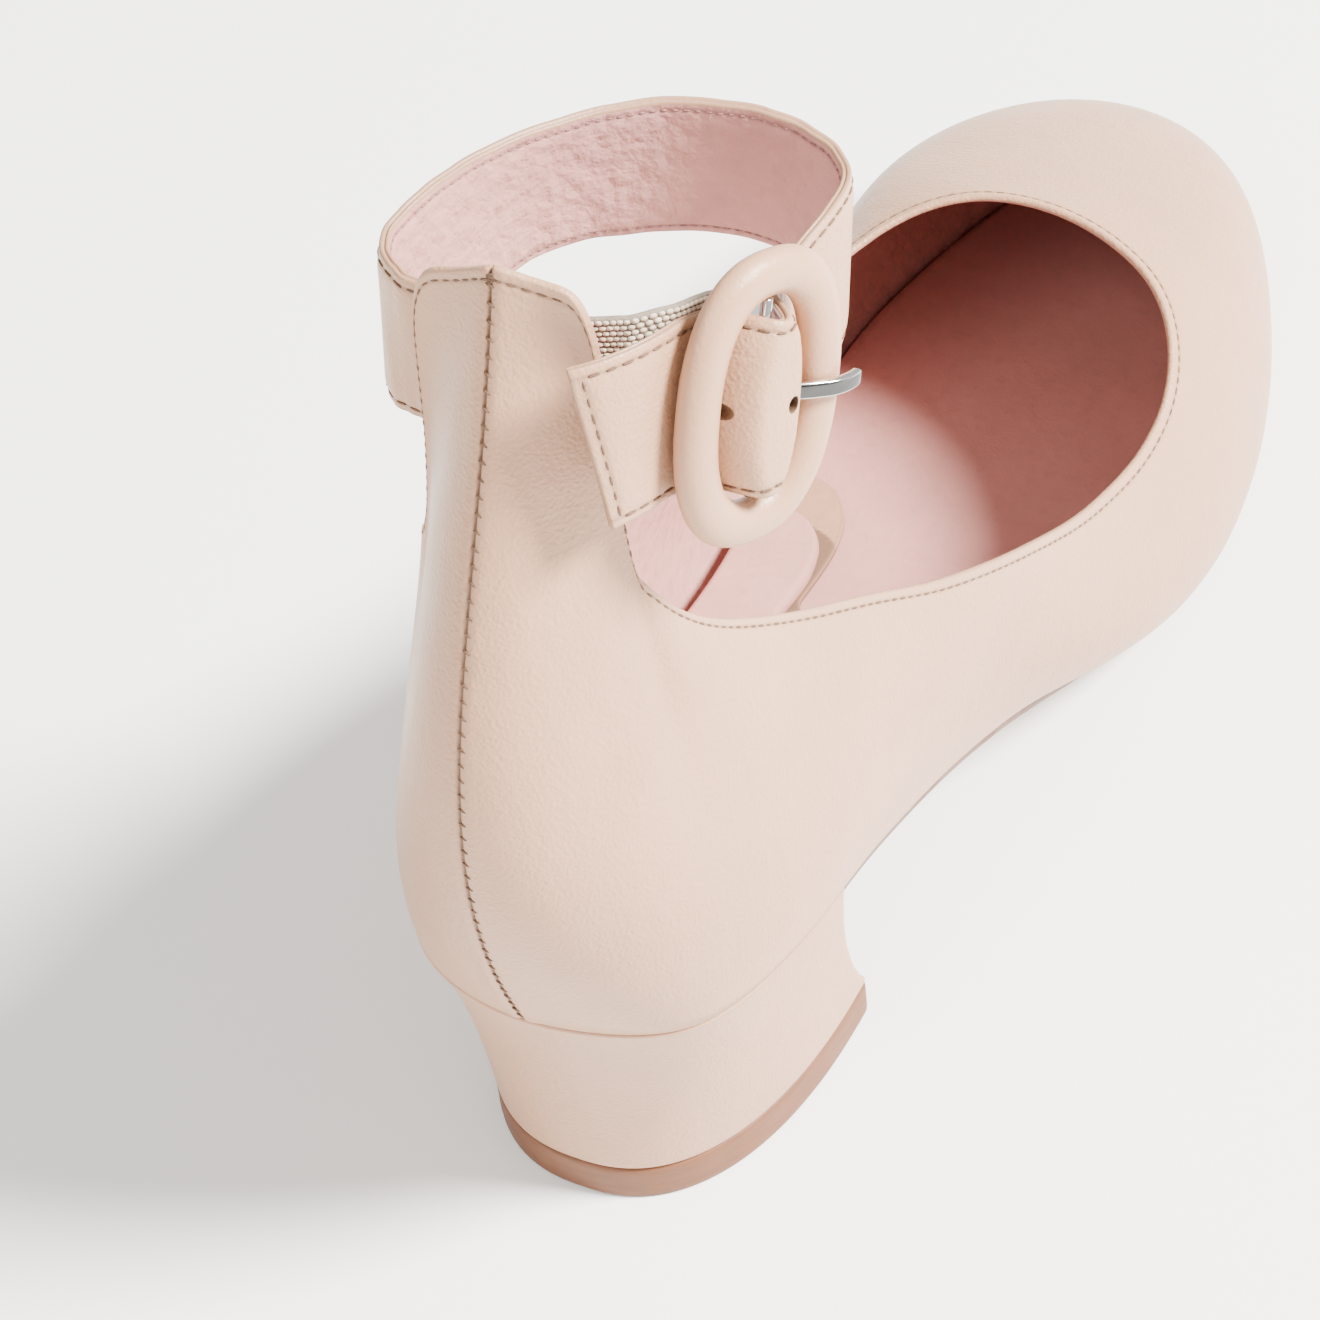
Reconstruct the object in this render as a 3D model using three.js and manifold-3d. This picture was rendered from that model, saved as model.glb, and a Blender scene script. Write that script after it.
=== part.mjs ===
// Block-heel mary jane pump, right shoe, standing empty on its sole.
// Millimetres. +Y runs to the toe, +X to the outer (lateral) side, +Z up from the floor.
import * as THREE from 'three';
import { mergeVertices } from 'three/addons/utils/BufferGeometryUtils.js';
import Module from 'manifold-3d';

// Last and upper
const shoeLength = 240;
const ballWidth = 84;
const seatHeight = 48;
const tabRise = 121;
const quarterRise = 88;
const throatRise = 43;
const upperWall = 1.8;

// Sole and heel
const soleThickness = 2.6;
const soleBevel = 0.65;
const toeSpring = 4.5;
const soleInset = 0.8;
const heelSeatLength = 43;
const liftThickness = 6.4;
const liftWidth = 50;
const liftLength = 45;
const heelPitch = 7.4;
const breastHollow = 2.6;
const heelTuck = 2.6;
const liftSquareness = 2.4;

// Inside
const insoleThickness = 2.4;
const sockThickness = 0.8;
const sockLength = 150;
const cushionLength = 138;
const cushionThickness = 2.6;

// Ankle strap, elastic and buckle
const strapWidth = 24;
const strapThickness = 2;
const strapSpan = 46;
const strapReach = 57.5;
const strapDrop = 18.5;
const strapTuck = 6;
const strapCrest = 3.3;
const crestSlope = 2.6;
const crestMargin = 1.9;
const tipSlant = 7.5;
const elasticWidth = 26;
const elasticThickness = 1.6;
const elasticDrop = 5.6;
const ringHeight = 34;
const ringWidth = 20.5;
const ringFace = 6;
const ringDepth = 4.8;
const ringSquareness = 2.4;
const buckleOut = 27;
const buckleAhead = 10.2;
const buckleYaw = 22;
const buckleDip = 18;
const buckleLean = 20;
const barRadius = 0.8;
const eyeRadius = 1.5;
const prongWidth = 2.4;
const prongThickness = 1.3;
const holeLength = 2.4;
const holePitch = 8.6;
const holeAhead = 2.7;

// Clearances
const gap = 0.3;
const prongClearance = 0.45;
const tabClearance = 1.3;

// Mesh density
const aroundSteps = 92;
const upSteps = 12;
const outlineSteps = 36;
const strapSteps = 88;
const strapAcross = 6;
const elasticSteps = 24;
const elasticAcross = 4;
const ringSteps = 44;
const ringSides = 10;
const roundSides = 10;
const prongSteps = 14;
const heelLevels = 5;

const wasm = await Module();
wasm.setup();

const up = new THREE.Vector3(0, 0, 1);
const soleTop = soleThickness + gap;

const mix = (a, b, t) => a + (b - a) * t;
const clamp = (value, low, high) => Math.min(high, Math.max(low, value));
const smooth = (t) => {
  const s = clamp(t, 0, 1);
  return s * s * (3 - 2 * s);
};

// Rise of the feather line, where the upper meets the sole, from heel to toe.
// along: share of shoeLength. arch: share of seatHeight above the sole. spring: share of toeSpring.
const featherLine = [
  { along: 0.0, arch: 1.0, spring: 0 },
  { along: 0.1, arch: 0.945, spring: 0 },
  { along: 0.2, arch: 0.825, spring: 0 },
  { along: 0.31, arch: 0.6, spring: 0 },
  { along: 0.42, arch: 0.35, spring: 0 },
  { along: 0.52, arch: 0.13, spring: 0 },
  { along: 0.6, arch: 0.02, spring: 0 },
  { along: 0.65, arch: 0, spring: 0 },
  { along: 0.79, arch: 0, spring: 0 },
  { along: 0.87, arch: 0, spring: 0.2 },
  { along: 1.0, arch: 0, spring: 1 },
];

// Monotone cubic through a table's column, so that a flat stretch stays exactly flat.
function monotone(rows, column, x) {
  const last = rows.length - 1;
  const at = clamp(x, rows[0].along, rows[last].along);
  let i = 0;
  while (i < last - 1 && at > rows[i + 1].along) i += 1;
  const slope = (k) => (rows[k + 1][column] - rows[k][column]) / (rows[k + 1].along - rows[k].along);
  const tangent = (k) => {
    if (k === 0) return slope(0);
    if (k === last) return slope(last - 1);
    const before = slope(k - 1);
    const after = slope(k);
    return before * after <= 0 ? 0 : (2 * before * after) / (before + after);
  };
  const width = rows[i + 1].along - rows[i].along;
  const t = (at - rows[i].along) / width;
  const a = rows[i][column];
  const b = rows[i + 1][column];
  const ta = tangent(i) * width;
  const tb = tangent(i + 1) * width;
  const t2 = t * t;
  const t3 = t2 * t;
  return a * (2 * t3 - 3 * t2 + 1) + ta * (t3 - 2 * t2 + t) + b * (3 * t2 - 2 * t3) + tb * (t3 - t2);
}

function featherHeight(y) {
  const along = y / shoeLength;
  const arch = monotone(featherLine, 'arch', along);
  const spring = monotone(featherLine, 'spring', along);
  return soleTop + (seatHeight - soleTop) * arch + toeSpring * spring;
}

// Sections of the upper, from the back seam round the outer side, the toe and the inner side.
// foot: where the section stands on the feather line, across as a share of ballWidth and along
// as a share of shoeLength. belly and crown: the two middle points of its profile, out as a share
// of ballWidth and up as a share of the section's own rise. rim: its top end.
const rises = { tab: tabRise, quarter: quarterRise };
const riseOf = (row) => rises[row.rise] ?? throatRise;
const sections = [
  { rise: 'tab', foot: [0, 0.024], belly: [0.247, 0.448], crown: [0.162, 0.599], rim: [0, 0.105, 1] },
  { rise: 'tab', foot: [0.18, 0.038], belly: [0.15, 0.31], crown: [0.08, 0.56], rim: [0.083, 0.11, 0.98] },
  { rise: 'tab', foot: [0.29, 0.075], belly: [0.055, 0.29], crown: [-0.025, 0.48], rim: [0.155, 0.108, 0.94] },
  { rise: 'quarter', foot: [0.333, 0.15], belly: [0.055, 0.25], crown: [0.095, 0.57], rim: [0.189, 0.139, 0.828] },
  { foot: [0.328, 0.25], belly: [0.045, 0.37], crown: [0.06, 0.82], rim: [0.324, 0.281, 1.032] },
  { foot: [0.33, 0.383], belly: [0.06, 0.3], crown: [0.03, 0.66], rim: [0.403, 0.382, 0.994] },
  { foot: [0.38, 0.508], belly: [0.14, 0.21], crown: [0.08, 0.56], rim: [0.419, 0.499, 0.908] },
  { foot: [0.452, 0.633], belly: [0.12, 0.19], crown: [0.12, 0.7], rim: [0.423, 0.61, 0.931] },
  { foot: [0.405, 0.758], belly: [0.12, 0.19], crown: [0.16, 0.77], rim: [0.363, 0.675, 1.018] },
  { foot: [0.286, 0.865], belly: [0.12, 0.23], crown: [0.25, 0.79], rim: [0.261, 0.71, 1.044] },
  { foot: [0.125, 0.938], belly: [0.18, 0.27], crown: [0.34, 0.74], rim: [0.107, 0.731, 1.025] },
  { foot: [-0.06, 0.97], belly: [0.21, 0.25], crown: [0.4, 0.69], rim: [-0.048, 0.73, 1.001] },
  { foot: [-0.214, 0.938], belly: [0.17, 0.27], crown: [0.34, 0.74], rim: [-0.15, 0.712, 0.998] },
  { foot: [-0.327, 0.86], belly: [0.105, 0.23], crown: [0.25, 0.79], rim: [-0.204, 0.693, 1.013] },
  { foot: [-0.4, 0.758], belly: [0.095, 0.21], crown: [0.16, 0.77], rim: [-0.257, 0.664, 0.988] },
  { foot: [-0.4, 0.633], belly: [0.085, 0.21], crown: [0.12, 0.7], rim: [-0.311, 0.595, 0.926] },
  { foot: [-0.345, 0.508], belly: [0.085, 0.23], crown: [0.06, 0.6], rim: [-0.314, 0.487, 0.938] },
  { foot: [-0.286, 0.383], belly: [0.07, 0.3], crown: [0.03, 0.68], rim: [-0.323, 0.383, 0.994] },
  { foot: [-0.292, 0.25], belly: [0.05, 0.37], crown: [0.06, 0.8], rim: [-0.299, 0.281, 1.033] },
  { rise: 'quarter', foot: [-0.322, 0.15], belly: [0.055, 0.25], crown: [0.095, 0.57], rim: [-0.184, 0.139, 0.828] },
  { rise: 'tab', foot: [-0.278, 0.077], belly: [0.037, 0.29], crown: [-0.035, 0.48], rim: [-0.15, 0.108, 0.92] },
  { rise: 'tab', foot: [-0.165, 0.037], belly: [0.13, 0.31], crown: [0.06, 0.56], rim: [-0.083, 0.11, 0.965] },
];

// The top edge of the upper in the sections' own terms, from the back seam to the toe.
// base: section that the column stands on. section and height: where the column ends, height as a
// share of that section's profile. The steep rows are the side of the heel tab.
const topEdge = [
  { base: 0.0, section: 0.0, height: 1.0 },
  { base: 0.55, section: 0.75, height: 0.998 },
  { base: 1.0, section: 1.45, height: 0.985 },
  { base: 1.35, section: 1.86, height: 0.955 },
  { base: 1.6, section: 1.97, height: 0.9 },
  { base: 1.8, section: 2.0, height: 0.83 },
  { base: 2.0, section: 2.03, height: 0.765 },
  { base: 2.25, section: 2.16, height: 0.746 },
  { base: 2.6, section: 2.48, height: 0.786 },
  { base: 3.1, section: 3.0, height: 0.865 },
  { base: 3.6, section: 3.55, height: 0.944 },
  { base: 4.1, section: 4.1, height: 1.0 },
  { base: 5.0, section: 5.0, height: 1.0 },
  { base: 8.0, section: 8.0, height: 1.0 },
  { base: 11.0, section: 11.0, height: 1.0 },
];

// Periodic cubic spline through one value of each section, solved once for its second derivatives.
function ringSpline(values) {
  const n = values.length;
  const curve = values.map((v, i) => 6 * (values[(i + 1) % n] - 2 * v + values[(i + n - 1) % n]));
  let second = curve.map((c) => c / 4);
  for (let pass = 0; pass < 60; pass += 1) {
    second = second.map((s, i) => (curve[i] - second[(i + 1) % n] - second[(i + n - 1) % n]) / 4);
  }
  return (u) => {
    const whole = Math.floor(u);
    const i = ((whole % n) + n) % n;
    const j = (i + 1) % n;
    const t = u - whole;
    const s = 1 - t;
    return (
      s * values[i] + t * values[j] + ((s * s * s - s) * second[i] + (t * t * t - t) * second[j]) / 6
    );
  };
}

const splineOf = (pick) => ringSpline(sections.map(pick));
const footAcross = splineOf((row) => row.foot[0] * ballWidth);
const footAlong = splineOf((row) => row.foot[1] * shoeLength);
const bellyOut = splineOf((row) => row.belly[0] * ballWidth);
const bellyUp = splineOf((row) => row.belly[1] * riseOf(row));
const crownOut = splineOf((row) => row.crown[0] * ballWidth);
const crownUp = splineOf((row) => row.crown[1] * riseOf(row));
const rimAcross = splineOf((row) => row.rim[0] * ballWidth);
const rimAlong = splineOf((row) => row.rim[1] * shoeLength);
const rimUp = splineOf((row) => row.rim[2] * riseOf(row));

// Outward direction in plan, square to the feather line. The sections run anticlockwise from
// above, so the outside lies to the right of the way they run.
function outward(u) {
  const step = 0.01;
  const dx = footAcross(u + step) - footAcross(u - step);
  const dy = footAlong(u + step) - footAlong(u - step);
  return new THREE.Vector3(dy, -dx, 0).normalize();
}

// A point of the upper's outer face: section u, share h of its profile.
function upperPoint(u, h) {
  const foot = new THREE.Vector3(footAcross(u), footAlong(u), 0);
  const base = featherHeight(foot.y);
  foot.z = base;
  const out = outward(u);
  const belly = foot.clone().addScaledVector(out, bellyOut(u)).addScaledVector(up, bellyUp(u));
  const rim = new THREE.Vector3(rimAcross(u), rimAlong(u), base + rimUp(u));
  const crown = rim.clone().addScaledVector(out, crownOut(u));
  crown.z = base + crownUp(u);
  const k = 1 - h;
  return foot
    .multiplyScalar(k * k * k)
    .addScaledVector(belly, 3 * k * k * h)
    .addScaledVector(crown, 3 * k * h * h)
    .addScaledVector(rim, h * h * h);
}

function upperNormal(u, h) {
  const step = 0.02;
  const low = Math.max(0, h - step);
  const along = upperPoint(u + step, h).sub(upperPoint(u - step, h));
  const rise = upperPoint(u, h + step).sub(upperPoint(u, low));
  return along.cross(rise).normalize();
}

// Column c of the upper, c from 0 to 1 round the shoe: the same table serves both sides.
function upperColumn(c) {
  const half = sections.length / 2;
  const place = c * 2 * (topEdge.length - 1);
  const inner = place > topEdge.length - 1;
  const row = inner ? 2 * (topEdge.length - 1) - place : place;
  const indexed = topEdge.map((r, i) => ({ ...r, along: i }));
  const read = (name) => monotone(indexed, name, row);
  const flip = (s) => (inner ? 2 * half - s : s);
  return { base: flip(read('base')), section: flip(read('section')), height: read('height') };
}

// Columns spread evenly along the top edge and the feather line together.
function upperColumns() {
  const fine = 1200;
  const reach = [0];
  let before = null;
  for (let i = 0; i <= fine; i += 1) {
    const column = upperColumn((i / fine) % 1);
    const top = upperPoint(column.section, column.height);
    const foot = upperPoint(column.base, 0);
    if (before) reach.push(reach[i - 1] + top.distanceTo(before.top) + foot.distanceTo(before.foot));
    before = { top, foot };
  }
  const columns = [];
  let i = 0;
  for (let k = 0; k < aroundSteps; k += 1) {
    const target = (reach[fine] * k) / aroundSteps;
    while (reach[i + 1] < target) i += 1;
    const part = (target - reach[i]) / (reach[i + 1] - reach[i]);
    columns.push(upperColumn((i + part) / fine));
  }
  return columns;
}

// Collects points and faces of one closed body.
class Body {
  constructor() {
    this.points = [];
    this.faces = [];
  }

  add(point) {
    this.points.push(point);
    return this.points.length - 1;
  }

  quad(a, b, c, d) {
    this.faces.push([a, b, c], [a, c, d]);
  }

  triangle(a, b, c) {
    this.faces.push([a, b, c]);
  }

  geometry() {
    const positions = this.faces.flat().flatMap((i) => this.points[i].toArray());
    const geometry = new THREE.BufferGeometry();
    geometry.setAttribute('position', new THREE.Float32BufferAttribute(positions, 3));
    return geometry;
  }
}

// The upper: outer and inner faces, joined along the top edge and along the feather line.
function upperShell() {
  const body = new Body();
  const columns = upperColumns();
  const outer = [];
  const inner = [];
  columns.forEach((column) => {
    const outerColumn = [];
    const innerColumn = [];
    for (let j = 0; j <= upSteps; j += 1) {
      const v = j / upSteps;
      const u = mix(column.base, column.section, v);
      const h = column.height * v;
      const point = upperPoint(u, h);
      const normal = upperNormal(u, h);
      const level = smooth(v * 4);
      normal.z *= level;
      normal.normalize();
      outerColumn.push(body.add(point));
      innerColumn.push(body.add(point.clone().addScaledVector(normal, -upperWall)));
    }
    outer.push(outerColumn);
    inner.push(innerColumn);
  });
  for (let k = 0; k < aroundSteps; k += 1) {
    const next = (k + 1) % aroundSteps;
    for (let j = 0; j < upSteps; j += 1) {
      body.quad(outer[k][j], outer[next][j], outer[next][j + 1], outer[k][j + 1]);
      body.quad(inner[k][j], inner[k][j + 1], inner[next][j + 1], inner[next][j]);
    }
    body.quad(outer[k][upSteps], outer[next][upSteps], inner[next][upSteps], inner[k][upSteps]);
    body.quad(outer[k][0], inner[k][0], inner[next][0], outer[next][0]);
  }
  return body.geometry();
}

// Plan outline of the feather line, moved inwards by inset, as two lists of [y, x] from heel to toe.
function featherSides(inset) {
  const fine = 800;
  const count = sections.length;
  const points = [];
  for (let i = 0; i < fine; i += 1) {
    const u = (i / fine) * count;
    const out = outward(u);
    points.push([footAlong(u) - out.y * inset, footAcross(u) - out.x * inset]);
  }
  const toe = points.reduce((best, p, i) => (p[0] > points[best][0] ? i : best), 0);
  const heel = points.reduce((best, p, i) => (p[0] < points[best][0] ? i : best), 0);
  const walk = (from, to) => {
    const list = [];
    for (let i = from; i !== to; i = (i + 1) % fine) list.push(points[i]);
    list.push(points[to]);
    return list;
  };
  return { outer: walk(heel, toe), inner: walk(toe, heel).reverse() };
}

// Where a side of the outline lies at a given y.
function sideAt(side, y) {
  let i = 0;
  while (i < side.length - 2 && side[i + 1][0] < y) i += 1;
  const span = side[i + 1][0] - side[i][0];
  const t = span > 0 ? clamp((y - side[i][0]) / span, 0, 1) : 0;
  return mix(side[i][1], side[i + 1][1], t);
}

// A closed plan ring between two y values: outer side from low to high, inner side back again.
// Steps are closer together at a rounded end.
function planRing(inset, low, high, roundLow, roundHigh) {
  const sides = featherSides(inset);
  const start = Math.max(low, sides.outer[0][0]);
  const end = Math.min(high, sides.outer[sides.outer.length - 1][0]);
  const eased = (t) => {
    if (roundLow && roundHigh) return (1 - Math.cos(Math.PI * t)) / 2;
    if (roundLow) return 1 - Math.cos((Math.PI * t) / 2);
    return roundHigh ? Math.sin((Math.PI * t) / 2) : t;
  };
  const rows = [];
  for (let i = 0; i <= outlineSteps; i += 1) rows.push(mix(start, end, eased(i / outlineSteps)));
  const outer = rows.map((y) => [sideAt(sides.outer, y), y]);
  const inner = rows.map((y) => [sideAt(sides.inner, y), y]);
  return { outer, inner, closedLow: roundLow, closedHigh: roundHigh };
}

// A closed body lofted through rings of equal make-up. Each ring is two sides, outer and inner,
// running from heel to toe; the two ends and the top and bottom are closed across.
function slab(levels) {
  const body = new Body();
  const rows = levels[0].outer.length;
  const { closedLow, closedHigh } = levels[0];
  const ids = levels.map((level) => {
    const outer = level.outer.map((p) => body.add(p));
    const inner = level.inner.map((p, i) => {
      const shared = (closedLow && i === 0) || (closedHigh && i === rows - 1);
      return shared ? outer[i] : body.add(p);
    });
    return { outer, inner };
  });
  const wall = (a, b, c, d) => {
    if (a === b) return;
    body.quad(a, b, c, d);
  };
  for (let k = 0; k + 1 < ids.length; k += 1) {
    const low = ids[k];
    const high = ids[k + 1];
    for (let i = 0; i + 1 < rows; i += 1) {
      wall(low.outer[i], low.outer[i + 1], high.outer[i + 1], high.outer[i]);
      wall(low.inner[i + 1], low.inner[i], high.inner[i], high.inner[i + 1]);
    }
    wall(low.inner[0], low.outer[0], high.outer[0], high.inner[0]);
    wall(low.outer[rows - 1], low.inner[rows - 1], high.inner[rows - 1], high.outer[rows - 1]);
  }
  const cap = (ring, flip) => {
    for (let i = 0; i + 1 < rows; i += 1) {
      const corners = [ring.inner[i], ring.outer[i], ring.outer[i + 1], ring.inner[i + 1]];
      const loop = corners.filter((id, n) => corners.indexOf(id) === n);
      if (flip) loop.reverse();
      body.triangle(loop[0], loop[1], loop[2]);
      if (loop.length === 4) body.triangle(loop[0], loop[2], loop[3]);
    }
  };
  cap(ids[0], true);
  cap(ids[ids.length - 1], false);
  return body.geometry();
}

// Lifts a plan ring to its height above the floor.
function atHeight(ring, height) {
  const place = ([x, y]) => new THREE.Vector3(x, y, height(x, y));
  return { ...ring, outer: ring.outer.map(place), inner: ring.inner.map(place) };
}

const heelBack = footAlong(0);
const breastLine = heelBack + heelSeatLength;

function outsole() {
  const ring = planRing(soleInset, breastLine + gap, shoeLength, false, true);
  const under = planRing(soleInset + soleBevel, breastLine + gap, shoeLength, false, true);
  const lower = atHeight(under, (x, y) => featherHeight(y) - gap - soleThickness);
  const edge = atHeight(ring, (x, y) => featherHeight(y) - gap - soleThickness + soleBevel);
  const top = atHeight(ring, (x, y) => featherHeight(y) - gap);
  return slab([lower, edge, top]);
}

// Block heel: the seat's outline at the top, the lift's outline at the bottom, the back leaning
// forward and the breast hollow between its two ends.
function heelRing(share) {
  const seat = planRing(0, heelBack, breastLine, true, false);
  const rows = seat.outer.length - 1;
  const backAt = heelBack + heelPitch;
  const hollow = breastHollow * 4 * share * (1 - share);
  const place = (side, sign) =>
    side.map(([x, y], i) => {
      const t = i / rows;
      const reach = 1 - Math.cos((Math.PI * t) / 2);
      const width = Math.pow(1 - Math.pow(1 - reach, liftSquareness), 1 / liftSquareness);
      const liftX = (sign * liftWidth * width) / 2;
      const liftY = backAt + liftLength * reach;
      const drop = liftThickness + gap;
      const top = featherHeight(y) - gap;
      const ahead = hollow * t * t;
      const flare = mix(Math.pow(share, heelTuck), share, t);
      return new THREE.Vector3(
        mix(liftX, x, flare),
        mix(liftY, y, flare) - ahead,
        mix(drop, top, share),
      );
    });
  return { ...seat, outer: place(seat.outer, 1), inner: place(seat.inner, -1) };
}

function heelBlock() {
  const levels = [];
  for (let i = 0; i <= heelLevels; i += 1) levels.push(heelRing(i / heelLevels));
  return slab(levels);
}

function heelLift() {
  const rim = heelRing(0);
  const level = (z) => {
    const place = (p) => new THREE.Vector3(p.x, p.y, z);
    return { ...rim, outer: rim.outer.map(place), inner: rim.inner.map(place) };
  };
  return slab([level(0), level(liftThickness)]);
}

const insideLine = upperWall + 2 * gap;

function insole() {
  const ring = planRing(insideLine, heelBack, shoeLength, true, true);
  const low = atHeight(ring, (x, y) => featherHeight(y));
  const high = atHeight(ring, (x, y) => featherHeight(y) + insoleThickness);
  return slab([low, high]);
}

// Front edge of the sock and of the cushion: it leaves the outer side early and runs forward as
// a lobe on the inner side, where it holds the arch. along: share of the pad's length. inward:
// share of the way across from the outer side to the inner side.
const padEdge = [
  { along: 0, inward: 0 },
  { along: 0.56, inward: 0 },
  { along: 0.65, inward: 0.36 },
  { along: 0.71, inward: 0.62 },
  { along: 0.77, inward: 0.735 },
  { along: 0.85, inward: 0.74 },
  { along: 0.92, inward: 0.765 },
  { along: 0.97, inward: 0.83 },
  { along: 1, inward: 1 },
];

function pad(inset, length, base, thickness) {
  const ring = planRing(insideLine + inset, heelBack, length, true, true);
  const outer = ring.outer.map(([x, y], i) => {
    const inward = monotone(padEdge, 'inward', y / length);
    return [mix(x, ring.inner[i][0], inward), y];
  });
  const outline = { ...ring, outer };
  const low = atHeight(outline, (x, y) => featherHeight(y) + base);
  const high = atHeight(outline, (x, y) => featherHeight(y) + base + thickness);
  return slab([low, high]);
}

const sockBase = insoleThickness + gap;
const cushionBase = sockBase + sockThickness + gap;
const heelSock = () => pad(gap, sockLength, sockBase, sockThickness);
const heelCushion = () => pad(gap * 2, cushionLength, cushionBase, cushionThickness);

// Buckle frame. It stands on the outer side: acrossRing runs forward along the strap, upRing up
// the strap's width and outRing away from the ankle.
const yaw = THREE.MathUtils.degToRad(buckleYaw);
const dip = THREE.MathUtils.degToRad(buckleDip);
const strapTop = seatHeight + tabRise - strapTuck;
const tabInside = rimAlong(0) + upperWall + tabClearance;
const ringCentre = new THREE.Vector3(buckleOut, tabInside + buckleAhead, strapTop - strapWidth * 0.8);
const acrossRing = new THREE.Vector3(
  Math.sin(yaw) * Math.cos(dip),
  Math.cos(yaw) * Math.cos(dip),
  -Math.sin(dip),
);
const outRing = acrossRing.clone().cross(new THREE.Vector3(0, Math.sin(dip), Math.cos(dip)));
outRing.normalize();
const upRing = outRing.clone().cross(acrossRing).normalize();

function ringPlace(along, rise, out) {
  return ringCentre
    .clone()
    .addScaledVector(acrossRing, along)
    .addScaledVector(upRing, rise)
    .addScaledVector(outRing, out);
}

function ringOval(angle, grow) {
  const c = Math.cos(angle);
  const s = Math.sin(angle);
  const power = 2 / ringSquareness;
  const along = Math.sign(c) * Math.pow(Math.abs(c), power) * (ringWidth / 2 + grow);
  const rise = Math.sign(s) * Math.pow(Math.abs(s), power) * (ringHeight / 2 + grow);
  return [along, rise];
}

function buckleRing() {
  const body = new Body();
  const ids = [];
  for (let k = 0; k < ringSteps; k += 1) {
    const angle = (2 * Math.PI * k) / ringSteps;
    const loop = [];
    for (let j = 0; j < ringSides; j += 1) {
      const turn = (2 * Math.PI * j) / ringSides;
      const [along, rise] = ringOval(angle, (Math.cos(turn) * ringFace) / 2);
      loop.push(body.add(ringPlace(along, rise, (Math.sin(turn) * ringDepth) / 2)));
    }
    ids.push(loop);
  }
  for (let k = 0; k < ringSteps; k += 1) {
    const next = (k + 1) % ringSteps;
    for (let j = 0; j < ringSides; j += 1) {
      const side = (j + 1) % ringSides;
      body.quad(ids[k][j], ids[next][j], ids[next][side], ids[k][side]);
    }
  }
  return body.geometry();
}

function buckleBar() {
  const length = ringHeight - ringFace - 2 * gap;
  const geometry = new THREE.CylinderGeometry(barRadius, barRadius, length, roundSides);
  const turn = new THREE.Matrix4().makeBasis(acrossRing, upRing, outRing.clone());
  turn.setPosition(ringCentre);
  return geometry.applyMatrix4(turn);
}

// Path of the prong from the bar round to the front of the ring, its tip over the ring's face.
// along: share of the half width of the ring. face: share of the ring's face beyond that.
// out: share of the prong's height over the ring.
const prongRoute = [
  { along: 0.12, face: 0, out: 0 },
  { along: 0.35, face: 0, out: 0.16 },
  { along: 0.68, face: 0, out: 0.66 },
  { along: 1, face: 0, out: 1 },
  { along: 1, face: 0.48, out: 0.97 },
  { along: 1, face: 0.66, out: 0.86 },
];

function prongPath() {
  const rest = (ringDepth + prongThickness) / 2 + 1.5 * gap;
  const points = prongRoute.map((row) =>
    ringPlace((row.along * ringWidth) / 2 + row.face * ringFace, 0, row.out * rest),
  );
  return new THREE.CatmullRomCurve3(points, false, 'centripetal');
}

// A rod of rounded flat section swept along a path, width up the strap and thickness across it.
function rod(path, width, thickness, steps) {
  const body = new Body();
  const rings = [];
  for (let i = 0; i <= steps; i += 1) {
    const centre = path.getPoint(i / steps);
    const ahead = path.getTangent(i / steps);
    const depth = ahead.clone().cross(upRing).normalize();
    const loop = [];
    for (let j = 0; j < roundSides; j += 1) {
      const turn = (2 * Math.PI * j) / roundSides;
      const point = centre
        .clone()
        .addScaledVector(upRing, (Math.cos(turn) * width) / 2)
        .addScaledVector(depth, (Math.sin(turn) * thickness) / 2);
      loop.push(body.add(point));
    }
    rings.push(loop);
  }
  for (let i = 0; i < steps; i += 1) {
    for (let j = 0; j < roundSides; j += 1) {
      const next = (j + 1) % roundSides;
      body.quad(rings[i][j], rings[i][next], rings[i + 1][next], rings[i + 1][j]);
    }
  }
  for (let j = 1; j + 1 < roundSides; j += 1) {
    body.triangle(rings[0][0], rings[0][j + 1], rings[0][j]);
    body.triangle(rings[steps][0], rings[steps][j], rings[steps][j + 1]);
  }
  return body.geometry();
}

function solid(geometry) {
  const bare = geometry.index ? geometry.toNonIndexed() : geometry.clone();
  bare.deleteAttribute('normal');
  bare.deleteAttribute('uv');
  const merged = mergeVertices(bare, 1e-4);
  return new wasm.Manifold(
    new wasm.Mesh({
      numProp: 3,
      vertProperties: new Float32Array(merged.attributes.position.array),
      triVerts: new Uint32Array(merged.index.array),
    }),
  );
}

function geometryOf(manifold) {
  const mesh = manifold.getMesh();
  const geometry = new THREE.BufferGeometry();
  geometry.setAttribute('position', new THREE.Float32BufferAttribute(mesh.vertProperties, 3));
  geometry.setIndex(new THREE.BufferAttribute(mesh.triVerts, 1));
  return geometry;
}

function eyeSolid() {
  const outerRadius = eyeRadius + barRadius / 2;
  const bore = barRadius + gap;
  const profile = [
    new THREE.Vector2(bore, -prongWidth / 2),
    new THREE.Vector2(outerRadius, -prongWidth / 2),
    new THREE.Vector2(outerRadius, prongWidth / 2),
    new THREE.Vector2(bore, prongWidth / 2),
    new THREE.Vector2(bore, -prongWidth / 2),
  ];
  const turn = new THREE.Matrix4().makeBasis(acrossRing, upRing, outRing.clone());
  turn.setPosition(ringCentre);
  return new THREE.LatheGeometry(profile, roundSides * 2).applyMatrix4(turn);
}

function bucklePin() {
  const shank = solid(rod(prongPath(), prongWidth, prongThickness, prongSteps));
  return geometryOf(shank.add(solid(eyeSolid())));
}

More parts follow.
